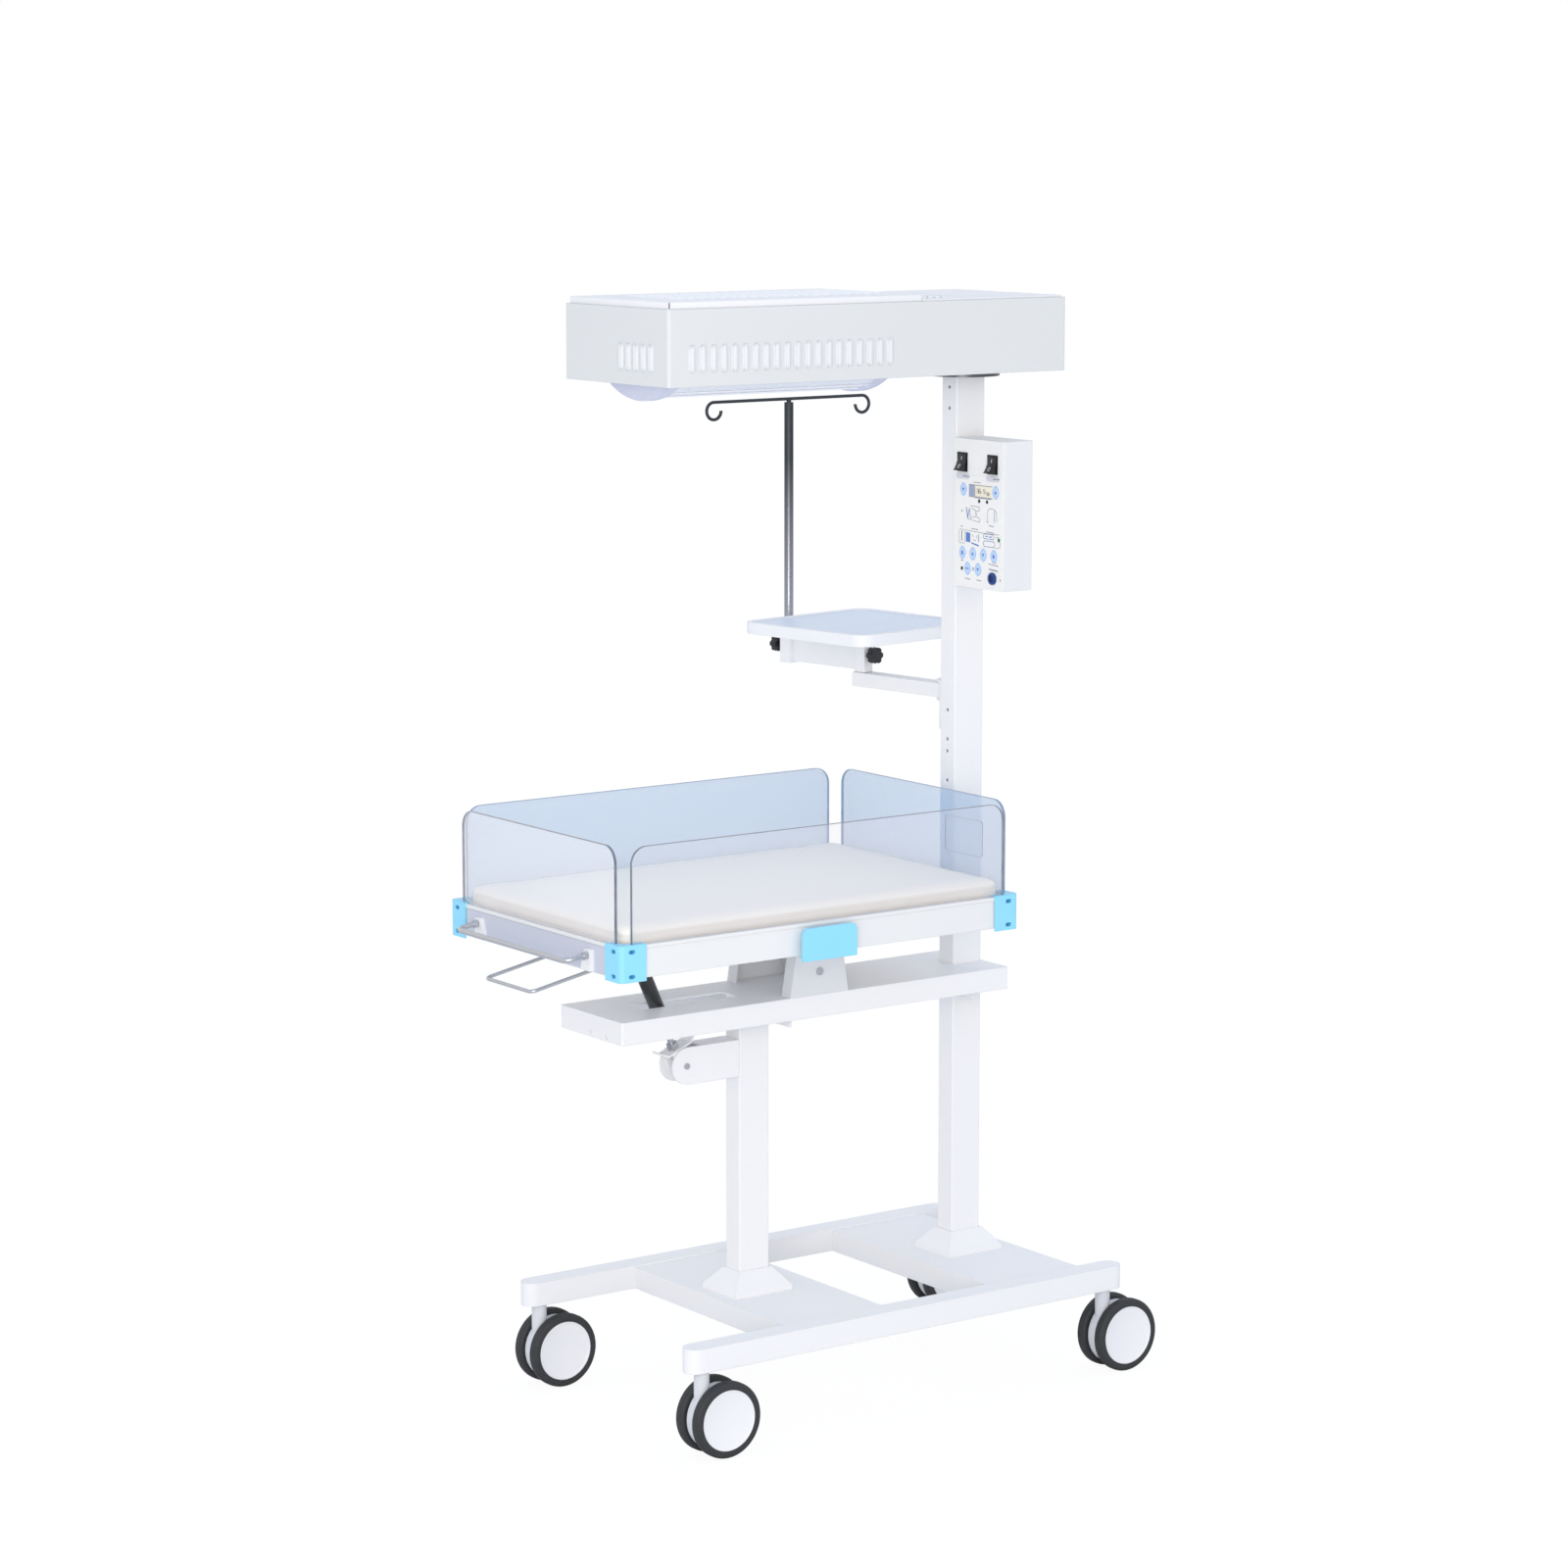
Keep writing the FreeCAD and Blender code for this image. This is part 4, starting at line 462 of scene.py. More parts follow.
def makeMattress():
    low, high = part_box("mattress")
    middle = (low + high) / 2
    pad = copyNode("mattress", "mattressPad")
    for vert in pad.data.vertices:
        side = Vector([1 if value > 0 else -1 for value in vert.co - middle])
        vert.co -= side * mattress["shrink"]
    remesh = pad.modifiers.new("grid", "REMESH")
    remesh.mode = "VOXEL"
    remesh.voxel_size = mattress["voxel"]
    applyModifiers(pad)
    start = [vert.co.copy() for vert in pad.data.vertices]
    cloth = pad.modifiers.new("cloth", "CLOTH")
    cloth.settings.use_pressure = True
    cloth.settings.uniform_pressure_force = mattress["pressure"]
    cloth.settings.effector_weights.gravity = 0
    cloth.settings.quality = 6
    cloth.point_cache.frame_end = mattress["lastFrame"]
    for number in range(1, mattress["lastFrame"] + 1):
        bpy.context.scene.frame_set(number)
    applyModifiers(pad)
    bpy.context.scene.frame_set(1)
    for vert, before in zip(pad.data.vertices, start):
        moved = vert.co - before
        if moved.length > mattress["cap"]:
            vert.co = before + moved.normalized() * mattress["cap"]
        vert.co.z = max(vert.co.z, low.z)
    finer = pad.modifiers.new("finer", "SUBSURF")
    finer.levels = 1
    finer.render_levels = 1
    applyModifiers(pad)
    seamZ = high.z - mattress["seamDrop"]
    for vert in pad.data.vertices:
        near = abs(vert.co.z - seamZ) / mattress["seamWide"]
        if near < 1:
            inward = Vector((middle.x - vert.co.x, middle.y - vert.co.y, 0))
            share = Vector((abs(inward.x) / (high.x - middle.x), abs(inward.y) / (high.y - middle.y), 0))
            pull = Vector((inward.x if share.x > 0.9 else 0, inward.y if share.y > 0.9 else 0, 0))
            if pull.length:
                vert.co += pull.normalized() * mattress["seamDeep"] * (1 - near * near)
    pad.data.materials.clear()
    pad.data.materials.append(nodeFinishes["mattress"])
    pad.data.shade_smooth()
    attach(pad, "bed")
    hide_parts("mattress")


makeMattress()
print("mattress done")


# Louvres: rounded domes over the pressed slots of the hood and its lid

louvre = {
    "halfWide": 0.0063, "rise": 0.0045, "lidRise": 0.0029, "sideX": -362.3, "pitch": 20.28, "count": 20,
    "foot": 1714, "head": 1756.5, "sideY": -147.4, "frontY": -98.9, "frontPitch": 20.9,
    "frontCount": 5, "frontX": -406, "lidX": -330, "lidRow": 54, "lidHalf": 23, "lidZ": 1824,
}


def addDome(bm, centre, along, out, halfLong, rise):
    across = along.cross(out)
    half = louvre["halfWide"]
    made = bmesh.ops.create_uvsphere(bm, u_segments=14, v_segments=9, radius=1)["verts"]
    bmesh.ops.transform(bm, matrix=Matrix.Diagonal((half, rise, half * 1.25, 1)), verts=made)
    for side in (-1, 1):
        end = [vert for vert in made if vert.co.z * side > 0]
        bmesh.ops.translate(bm, vec=(0, 0, side * (halfLong - half * 1.25)), verts=end)
    turn = Matrix((across, out, along)).transposed().to_4x4()
    bmesh.ops.transform(bm, matrix=Matrix.Translation(centre) @ turn, verts=made)
    faces = list({face for vert in made for face in vert.link_faces})
    edges = list({edge for vert in made for edge in vert.link_edges})
    bmesh.ops.bisect_plane(bm, geom=made + edges + faces, plane_co=centre - out * 0.0002, plane_no=out,
                           clear_inner=True)


def makeLouvres():
    upright, lengthwise, outward = Vector((0, 0, 1)), Vector((1, 0, 0)), Vector((0, -1, 0))
    tall = (louvre["head"] - louvre["foot"]) / 2 * millimetre
    middle = (louvre["head"] + louvre["foot"]) / 2
    walls = bmesh.new()
    for number in range(louvre["count"]):
        addDome(walls, at(louvre["sideX"] + number * louvre["pitch"], louvre["sideY"], middle),
                upright, outward, tall, louvre["rise"])
    for number in range(louvre["frontCount"]):
        addDome(walls, at(louvre["frontX"], louvre["frontY"] + number * louvre["frontPitch"], middle),
                upright, -lengthwise, tall, louvre["rise"])
    lids = bmesh.new()
    for row in (-1, 0, 1):
        for number in range(louvre["count"]):
            spot = at(louvre["lidX"] + number * louvre["pitch"], row * louvre["lidRow"], louvre["lidZ"])
            addDome(lids, spot, Vector((0, 1, 0)), upright, louvre["lidHalf"] * millimetre, louvre["lidRise"])
    for name, bm, paint in (("wallLouvres", walls, louvreHighlightWhite), ("lidLouvres", lids, lidLouvreHighlightWhite)):
        piece = putPiece(name, bm, paint, "hood", sharp=50.0)


def makeLid():
    # The raised lid and the low rear cover, each a pressed sheet with rounded folds.
    bm = bmesh.new()
    for low, high, fold in (((-400, -141.4, 1813.02), (93, 141.4, 1824), 2.4),
                            ((94, -141.4, 1813.02), (382, 141.4, 1816), 0.8)):
        made = bmesh.ops.create_cube(bm, size=1, matrix=Matrix.Translation((at(*low) + at(*high)) / 2)
                                     @ Matrix.Diagonal((*(at(*high) - at(*low)), 1)))["verts"]
        floorZ = at(*low).z
        edges = list({edge for vert in made for edge in vert.link_edges
                      if any(abs(end.co.z - floorZ) > 0.0001 for end in edge.verts)})
        roundEdges(bm, edges, fold * millimetre, 4)
    putPiece("lidAndCover", bm, whitePaint, "hood", ["hood_covers"], sharp=50.0)


# Both are brighter than the hood's paint: painted highlight on the louvre domes. The first also serves the lid's
# knuckles and the beam's plug.
louvreHighlightWhite = powderCoat("louvreHighlightWhite", rgb(236, 237, 238), rgb(231, 233, 235), 0.32)
lidLouvreHighlightWhite = powderCoat("lidLouvreHighlightWhite", rgb(255, 255, 255), rgb(252, 252, 253), 0.3)
makeLid()
makeLouvres()
print("louvres done")


# Hood: shades at the heater's ends, the lid's seam and its hinge knuckles

heater = {
    "front": -358, "rear": 62, "half": 92, "drop": 28, "bottom": 1692, "capLong": 15, "capProud": 1.5,
    "capOut": 3.5, "shadeShare": 0.95, "holeRadius": 1.6, "holes": (-58, -26, 14),
}
hood = {
    "seamX": -400, "seamY": -141.4, "seamFoot": 1814, "seamTop": 1823, "seamWide": 1.2,
    "knuckles": (104, 118, 132, 146), "knuckleY": -128, "knuckleZ": 1816, "knuckleRadius": 5.5,
}


def arcSpots(radius, centreZ, half, x, steps=28):
    spots = []
    for step in range(steps + 1):
        turn = -half + 2 * half * step / steps
        spots.append(at(x, radius * math.sin(turn), centreZ - radius * math.cos(turn)))
    return spots


def makeHeaterShade():
    grow = heater["capProud"]
    radius = (heater["half"] ** 2 / heater["drop"] + heater["drop"]) / 2
    centreZ = heater["bottom"] - heater["drop"] + radius
    caps = bmesh.new()
    holes = bmesh.new()
    for face, side in ((heater["front"], -1), (heater["rear"], 1)):
        outer = radius + grow
        half = math.acos((centreZ - heater["bottom"]) / outer)
        spots = arcSpots(outer, centreZ, half, face + side * heater["capOut"])
        rim = caps.faces.new([caps.verts.new(spot) for spot in spots])
        pushOut(caps, [rim], (-side * heater["capLong"] * millimetre, 0, 0))
        front = [edge for edge in rim.edges if abs(edge.verts[0].co.z - edge.verts[1].co.z) > 0.0002
                 or edge.calc_length() < 0.02]
        roundEdges(caps, front, 0.0012, 2)
        for y in heater["holes"]:
            z = centreZ - math.sqrt((radius - 5) ** 2 - y ** 2)
            spot = at(face + side * heater["capOut"], y, z)
            addSpun(holes, [(0.0, 0.0003), (heater["holeRadius"] * millimetre, 0.0001),
                            (heater["holeRadius"] * millimetre, -0.0004), (0.0, -0.0004)],
                    spot, Vector((side, 0, 0)), Vector((0, 0, 1)), 16)
    sheet = bmesh.new()
    near = [sheet.verts.new(spot) for spot in arcSpots(
        radius - 5.6, centreZ, heater["shadeShare"] * math.asin(heater["half"] / radius), heater["front"] + 4)]
    edges = [sheet.edges.new(pair) for pair in zip(near, near[1:])]
    made = bmesh.ops.extrude_edge_only(sheet, edges=edges)
    moved = [item for item in made["geom"] if isinstance(item, bmesh.types.BMVert)]
    bmesh.ops.translate(sheet, vec=((heater["rear"] - heater["front"] - 8) * millimetre, 0, 0), verts=moved)
    bmesh.ops.solidify(sheet, geom=list(sheet.faces), thickness=0.0012)
    putPiece("heaterCaps", caps, shadeLilac, "hood")
    putPiece("capHoles", holes, hubWhite, "hood")
    putPiece("heaterShade", sheet, shadeWhite, "hood", sharp=60.0)


makeHeaterShade()

seam = bmesh.new()
addBlock(seam, at(hood["seamX"] - 0.25, hood["seamY"] - 0.25, hood["seamFoot"]),
         at(hood["seamX"] + hood["seamWide"], hood["seamY"] + hood["seamWide"], hood["seamTop"]), 0.0002, 2)
seamGrey = mouldedPlastic("seamGrey", rgb(96, 99, 104), rgb(82, 85, 92))
putPiece("lidSeam", seam, seamGrey, "hood")
knuckles = bmesh.new()
for x in hood["knuckles"]:
    reach = hood["knuckleRadius"] * millimetre
    addSpun(knuckles, [(0.0, -0.0055), (reach * 0.82, -0.0055), (reach, -0.004), (reach, 0.004),
                       (reach * 0.82, 0.0055), (0.0, 0.0055)],
            at(x, hood["knuckleY"], hood["knuckleZ"]), Vector((1, 0, 0)), Vector((0, 0, 1)), 28)
putPiece("lidKnuckles", knuckles, louvreHighlightWhite, "hood")
print("hood details done")


# Control panel: printed marks, membrane keys, display and lamps

panelFace = {"x": 253.4, "slideY": -8.5, "slideZ": 0.8, "ink": 0.12, "keyProud": 0.65}
keyMarks = [
    # y, z, kind of the small mark on the key
    (-39.2, 1494, "down"), (-124.8, 1494, "up"), (-37, 1388.3, "bell"), (-65, 1388.3, "up"),
    (-93, 1388.3, "down"), (-121, 1388.3, "clock"), (-51, 1363, "bar"), (-79, 1363, "down")]
digitStrokes = {
    "0": "abcdef", "3": "abgcd", "5": "afgcd", "6": "afgedc", "7": "abc"}
digitPlaces = {
    "a": ((0, 2), (1, 2)), "b": ((1, 2), (1, 1)), "c": ((1, 1), (1, 0)), "d": ((0, 0), (1, 0)),
    "e": ((0, 0), (0, 1)), "f": ((0, 1), (0, 2)), "g": ((0, 1), (1, 1))}


def onPanel(y, z, out=0.0):
    return at(panelFace["x"] - out, y + panelFace["slideY"], z + panelFace["slideZ"])


def addStroke(bm, start, end, wide, proud=None):
    # A printed line between two places (y, z) on the panel's face.
    proud = panelFace["ink"] if proud is None else proud
    first, last = onPanel(*start), onPanel(*end)
    along = last - first
    if along.length < 0.00001:
        along = Vector((0, 0.00001, 0))
    turn = Matrix((along.normalized(), Vector((1, 0, 0)).cross(along.normalized()), Vector((1, 0, 0)))).transposed()
    scale = Matrix.Diagonal((along.length + wide * millimetre, wide * millimetre, 2 * proud * millimetre, 1))
    bmesh.ops.create_cube(bm, size=1, matrix=Matrix.Translation((first + last) / 2) @ turn.to_4x4() @ scale)


def addOutline(bm, spots, wide, closed=True):
    ends = spots[1:] + spots[:1] if closed else spots[1:]
    for start, end in zip(spots, ends):
        addStroke(bm, start, end, wide)


def addPatch(bm, spots, proud, lip=0.0):
    # A flat printed area with the given outline of (y, z) places.
    face = bm.faces.new([bm.verts.new(onPanel(*spot, -0.05)) for spot in spots])
    moved = pushOut(bm, [face], (-(proud + 0.05) * millimetre, 0, 0))
    if lip:
        edges = [edge for edge in bm.edges if all(vert in moved for vert in edge.verts)]
        roundEdges(bm, edges, lip * millimetre, 2)


def ovalSpots(y, z, wide, high, steps=28):
    return [(y + wide * math.cos(math.tau * step / steps), z + high * math.sin(math.tau * step / steps))
            for step in range(steps)]


def dropSpots(y, z, radius, steps=28):
    # A round key that comes to a soft point at its head and foot.
    spots = []
    for step in range(steps):
        turn = math.tau * step / steps
        stretch = 1 + 0.28 * abs(math.sin(turn)) ** 4
        spots.append((y + radius * math.cos(turn), z + radius * stretch * math.sin(turn)))
    return spots


def roundedSpots(y0, y1, z0, z1, radius, steps=5):
    spots = []
    corners = [(y1 - radius, z1 - radius, 0), (y0 + radius, z1 - radius, 90),
               (y0 + radius, z0 + radius, 180), (y1 - radius, z0 + radius, 270)]
    for y, z, start in corners:
        for step in range(steps + 1):
            turn = math.radians(start + 90 * step / steps)
            spots.append((y + radius * math.cos(turn), z + radius * math.sin(turn)))
    return spots


def addDigits(bm, words, y, z, wide, high, gap, line):
    for number, letter in enumerate(words):
        left = y - number * (wide + gap)
        for stroke in digitStrokes.get(letter, ""):
            start, end = digitPlaces[stroke]
            addStroke(bm, (left - start[0] * wide, z + start[1] * high / 2),
                      (left - end[0] * wide, z + end[1] * high / 2), line)
        if letter == ".":
            addStroke(bm, (left + gap * 0.5, z), (left + gap * 0.5, z), line * 1.2)


def printMarks():
    rings, keys, icons, grey, dark, blue, pale = [bmesh.new() for number in range(7)]
    for y, z, kind in keyMarks:
        addPatch(rings, dropSpots(y, z, 8.8), 0.25)
        addPatch(keys, dropSpots(y, z, 7.2), panelFace["keyProud"], 0.2)
        raised = panelFace["keyProud"] + 0.1
        if kind in ("up", "down"):
            tip = 3.2 if kind == "up" else -3.2
            addPatch(icons, [(y - 3.2, z - tip * 0.7), (y + 3.2, z - tip * 0.7), (y, z + tip)], raised)
        elif kind == "bell":
            addPatch(icons, ovalSpots(y, z + 0.6, 2.5, 3.1, 14), raised)
            addStroke(icons, (y - 3.4, z - 2.6), (y + 3.4, z - 2.6), 1.1, raised)
        elif kind == "clock":
            addPatch(icons, ovalSpots(y, z - 0.4, 3.0, 3.0, 18), raised)
            addStroke(icons, (y, z + 2.6), (y, z + 3.8), 1.0, raised)
        else:
            addStroke(icons, (y - 3.2, z), (y + 3.2, z), 2.0, raised)
    for y in (-42, -122):
        addPatch(pale, roundedSpots(y - 12, y + 23, 1511.4, 1520.4, 4.4), 0.12)
        for start, long in ((4, 6), (-4, 3), (-9, 2.5)):
            addStroke(grey, (y + start, 1516), (y + start - long, 1516), 1.5)
    addOutline(grey, [(-54, 1503), (-116, 1503)], 1.0, closed=False)
    addOutline(grey, [(-66, 1507.4), (-84, 1507.4)], 1.1, closed=False)
    addOutline(grey, [(-70, 1482.0), (-112, 1482.0)], 0.9, closed=False)
    for y, z in ((-81, 1477), (-102, 1477), (-36, 1362)):
        addPatch(dark, ovalSpots(y, z, 2.8, 3.2, 18), 0.6, 0.2)
    addPatch(grey, ovalSpots(-35, 1458, 1.6, 1.6, 12), 0.12)
    # Outlined pictures of a warmer and of a bed, each of a few plain lines
    addOutline(grey, [(-46, 1464), (-50, 1446), (-82, 1442), (-84, 1448), (-76, 1449.5), (-72, 1459),
                      (-82, 1461.5), (-81, 1467), (-58, 1468)], 0.8, closed=False)
    addOutline(blue, [(-48, 1464), (-51, 1448), (-55, 1463), (-58, 1447)], 1.3, closed=False)
    addOutline(grey, [(-60, 1464), (-72, 1461), (-72, 1450), (-60, 1449)], 0.7, closed=False)
    addOutline(grey, [(-103, 1444), (-104, 1463), (-110, 1467), (-121, 1466), (-127, 1461), (-128, 1446)],
               0.8, closed=False)
    addOutline(blue, [(-121.5, 1445), (-122, 1464)], 1.2, closed=False)
    addOutline(grey, [(-102, 1444), (-106, 1444)], 0.9, closed=False)
    addStroke(grey, (-108, 1438.5), (-119, 1437.5), 1.3)
    # The row box with its bar, two ovals and marks
    addOutline(grey, roundedSpots(-43, -27.5, 1404, 1427, 4), 0.7)
    addStroke(grey, (-35, 1424), (-35, 1409), 2.2)
    addOutline(grey, [(-45, 1426.5), (-98, 1424.5), (-133, 1425)], 0.8, closed=False)
    addStroke(grey, (-61, 1430), (-78, 1429.5), 1.1)
    addStroke(grey, (-31, 1432), (-38, 1432), 1.0)
    addPatch(blue, [(-46, 1423.5), (-46, 1407.5), (-57.5, 1406.5), (-57.5, 1422.5)], 0.15)
    addStroke(blue, (-62, 1406), (-79, 1403), 2.4)
    addStroke(grey, (-63, 1420), (-66, 1417), 0.9)
    addStroke(grey, (-74, 1419.5), (-76, 1415), 0.9)
    addStroke(grey, (-66, 1411.5), (-73, 1411), 0.9)
    addStroke(blue, (-80.5, 1421), (-80.5, 1410), 1.6)
    addOutline(blue, roundedSpots(-121, -93, 1416, 1424, 3.8), 0.9)
    addOutline(blue, roundedSpots(-123, -93, 1403, 1412.5, 4.2), 0.9)
    addStroke(blue, (-99, 1420), (-104, 1420.5), 1.6)
    addStroke(blue, (-108, 1419.5), (-115, 1420), 1.6)
    addStroke(grey, (-101, 1427.5), (-120, 1427), 1.2)
    addStroke(grey, (-127, 1420.5), (-133, 1420), 1.0)
    addOutline(grey, [(-137, 1412), (-137, 1404), (-124, 1402)], 0.7, closed=False)
    # Small rules beside the keys and the socket
    for start, end, line in (((-34, 1375.5), (-39, 1375), 1.4), ((-45, 1346), (-58, 1345), 1.3),
                             ((-76, 1345.5), (-87, 1345), 1.3), ((-107, 1375), (-132, 1373), 1.2),
                             ((-117, 1378), (-127, 1377.5), 1.1), ((-109, 1366.5), (-131, 1364.5), 1.8),
                             ((-66, 1364.5), (-66, 1361.5), 2.6)):
        addStroke(grey, start, end, line)
    addPatch(dark, ovalSpots(-138, 1350, 0.9, 2.2, 10), 0.12)
    marks = {
        "keyRings": (rings, keyRing), "keyPads": (keys, keyBlue), "keyIcons": (icons, iconBlue),
        "greyPrint": (grey, inkGrey), "darkLamps": (dark, lampBlack), "bluePrint": (blue, iconBlue),
        "switchTags": (pale, tagGrey)}
    for name, (bm, finish) in marks.items():
        putPiece(name, bm, finish, "chassis", sharp=30.0)
        print(name)


keyRing = mouldedPlastic("keyRing", rgb(170, 203, 247), rgb(162, 197, 244), 0.4, 1500.0, 0.05)
keyBlue = mouldedPlastic("keyBlue", rgb(198, 221, 250), rgb(188, 214, 248), 0.35, 1500.0, 0.05)
iconBlue = mouldedPlastic("iconBlue", rgb(88, 132, 202), rgb(76, 120, 192), 0.4, 1500.0, 0.05)
inkGrey = mouldedPlastic("inkGrey", rgb(138, 142, 156), rgb(124, 128, 144), 0.5, 1500.0, 0.05)
tagGrey = mouldedPlastic("tagGrey", rgb(220, 222, 229), rgb(212, 214, 223), 0.45, 1500.0, 0.05)
lampBlack = mouldedPlastic("lampBlack", rgb(16, 16, 18), rgb(24, 24, 27), 0.25, 700.0, 0.05)
inkWhite = mouldedPlastic("inkWhite", rgb(240, 240, 240), rgb(228, 228, 230), 0.4, 700.0, 0.05)
bezelSlate = mouldedPlastic("bezelSlate", rgb(160, 172, 200), rgb(150, 162, 192), 0.4, 900.0, 0.05)
lampGreen = mouldedPlastic("lampGreen", rgb(28, 132, 84), rgb(20, 112, 68), 0.25, 300.0, 0.05)
socketDeep = mouldedPlastic("socketDeep", rgb(10, 36, 108), rgb(6, 24, 84), 0.25, 300.0, 0.05)
printMarks()

greenLamp = bmesh.new()
addPatch(greenLamp, ovalSpots(-134, 1416, 3.0, 3.4, 20), 0.8, 0.3)
putPiece("greenLamp", greenLamp, lampGreen, "chassis")

display = {"farY": -54, "splitY": -68, "nearY": -115.5, "foot": 1483.2, "head": 1502.2, "lip": 0.9}
bezel = bmesh.new()
addPatch(bezel, roundedSpots(display["splitY"], display["farY"], display["foot"], display["head"], 1), 0.7, 0.3)
addOutline(bezel, [(display["splitY"], display["foot"]), (display["nearY"], display["foot"])], display["lip"], False)
putPiece("displayBezel", bezel, bezelSlate, "chassis")
digits = bmesh.new()
addDigits(digits, "36.5", -74, 1490.5, 4.2, 6.4, 1.8, 0.7)
addDigits(digits, "36", -100, 1488.2, 2.8, 4.4, 1.4, 0.55)
putPiece("displayDigits", digits, inkGrey, "chassis")

socket = {"y": -117.7, "z": 1351.6, "out": 2.6, "bore": 5.6, "ring": 8.6}
rims = bmesh.new()
addSpun(rims, [(socket["bore"] * millimetre, -0.002), (socket["bore"] * millimetre, 0.0002),
               ((socket["bore"] + 0.6) * millimetre, 0.0008), ((socket["ring"] - 0.8) * millimetre, 0.0006),
               (socket["ring"] * millimetre, 0.0), (socket["ring"] * millimetre, -0.0008),
               (socket["bore"] * millimetre, -0.002)],
        onPanel(socket["y"], socket["z"], socket["out"]), Vector((-1, 0, 0)), Vector((0, 0, 1)), 40)
putPiece("socketRim", rims, socketBlue, "chassis")
pin = bmesh.new()
addSpun(pin, [(0.0, -0.0005), ((socket["bore"] - 0.4) * millimetre, -0.0009),
              ((socket["bore"] - 0.4) * millimetre, -0.003), (0.0, -0.003)],
        onPanel(socket["y"], socket["z"], socket["out"]), Vector((-1, 0, 0)), Vector((0, 0, 1)), 32)
putPiece("socketCore", pin, socketDeep, "chassis")

# Rockers with a hollow face that flares to its foot, and their white on and off marks

rocker = {
    "profile": [(2.0, 13.9), (2.3, 7.5), (3.6, 1.5), (6.0, -4.5), (9.2, -10.0), (12.0, -13.9),
                (0.2, -13.9), (-0.6, 0.0), (0.2, 13.9)],
    "half": 11.0, "round": 0.6, "middle": 1540, "back": 254,
    "frameWide": 1.6, "frameOut": 1.6, "frameY": 13, "frameZ": 16, "backing": 0.3,
}


def faceReach(z):
    # How far the face stands out at a height, read along the profile.
    face = rocker["profile"][:6]
    for (reach, high), (nextReach, low) in zip(face, face[1:]):
        if low <= z <= high:
            return reach + (nextReach - reach) * (high - z) / (high - low)
    return face[0][0]


def makeSwitchFrames():
    # A black frame with a sunk floor round each rocker
    bm = bmesh.new()
    middle, half, tall = rocker["middle"], rocker["frameY"], rocker["frameZ"]
    for y in (-124, -44):
        corners = [(y - half, middle - tall), (y + half, middle - tall), (y + half, middle + tall),
                   (y - half, middle + tall)]
        inside = bm.faces.new([bm.verts.new(at(rocker["back"], *corner)) for corner in corners])
        rims = bmesh.ops.inset_region(bm, faces=[inside], thickness=rocker["frameWide"] * millimetre,
                                      use_boundary=True)["faces"]
        pushOut(bm, rims, (-rocker["frameOut"] * millimetre, 0, 0))
        bmesh.ops.translate(bm, vec=(-rocker["backing"] * millimetre, 0, 0), verts=list(inside.verts))
    return bm


def makeRocker(name, node, y, body):
    bm = bmesh.new()
    spots = [bm.verts.new(at(rocker["back"] - reach, y - rocker["half"], rocker["middle"] + high))
             for reach, high in rocker["profile"]]
    pushOut(bm, [bm.faces.new(spots)], (0, 2 * rocker["half"] * millimetre, 0))
    bmesh.ops.recalc_face_normals(bm, faces=bm.faces)
    corners = [edge for edge in bm.edges if edge.calc_face_angle(0) > 0.6]
    roundEdges(bm, corners, rocker["round"] * millimetre, 2)
    putPiece(name, bm, blackPlastic, body, [node], sharp=40.0)
    marks = bmesh.new()
    across = y - panelFace["slideY"]
    addStroke(marks, (across, 1543.6), (across, 1548.0), 1.3)
    addOutline(marks, ovalSpots(across + 1.0, 1532.4, 2.6, 2.6, 16), 1.1)
    for vert in marks.verts:
        high = (vert.co.z - at(0, 0, rocker["middle"]).z) / millimetre
        vert.co.x -= (faceReach(high) - rocker["back"] + panelFace["x"] + 0.05) * millimetre
    putPiece(name + "Marks", marks, inkWhite, body)


putPiece("switchFrames", makeSwitchFrames(), blackPlastic, "chassis", ["switch_bodies"], sharp=30.0)
makeRocker("heaterRocker", "heater_rocker", -124, "rocker_heater")
makeRocker("powerRocker", "power_rocker", -44, "rocker_power")
print("control panel done")


# Small parts: block screws, the rear panel's holder, the beam's drain hole

blockScrew = {
    "sink": 1.2, "inset": 21, "levels": (797, 836), "front": -569.5, "rear": 214, "side": 251,
    "shadeSink": 2, "shadeRadius": 0.0031, "shadeThick": 0.0006, "shadeLong": 0.0027,
}
headProfile = [(0.0, 0.0), (0.0018, 0.0), (0.0023, -0.0005), (0.0023, -0.0011), (0.0, -0.0011)]


def blockSpots(sink):
    # Each corner block has two slots on its end and two on its side.
    inset, half = blockScrew["inset"], blockScrew["side"]
    for x, turn in ((blockScrew["front"], -1), (blockScrew["rear"], 1)):
        for y in (-1, 1):
            for z in blockScrew["levels"]:
                yield at(x - turn * sink, y * (half - inset), z), Vector((turn, 0, 0))
                yield at(x - turn * inset, y * (half - sink), z), Vector((0, y, 0))


def addSlotFloorShade(bm, middle, out):
    along = Vector((0, 0, 1)).cross(out)
    radius = blockScrew["shadeRadius"]
    made = bmesh.ops.create_cone(bm, cap_ends=True, segments=24, radius1=radius, radius2=radius,
                                 depth=blockScrew["shadeThick"])["verts"]
    for side in (-1, 1):
        end = [vert for vert in made if vert.co.x * side > 0.00001]
        bmesh.ops.translate(bm, vec=(side * blockScrew["shadeLong"], 0, 0), verts=end)
    turned = Matrix((along, out.cross(along), out)).transposed().to_4x4()
    bmesh.ops.transform(bm, matrix=Matrix.Translation(middle) @ turned, verts=made)


screws = bmesh.new()
for spot, out in blockSpots(blockScrew["sink"]):
    addSpun(screws, headProfile, spot, out, Vector((0, 0, 1)), 18)

# A pale blue sheet on the tray's floor, painted sky light: the side of the turned square comes from the box round it
# and its corner radius
tray = {"rim": 9.6, "sink": 3.0, "thick": 0.5, "turn": 8.5, "round": 24, "cornerShare": 0.03 / 0.298}


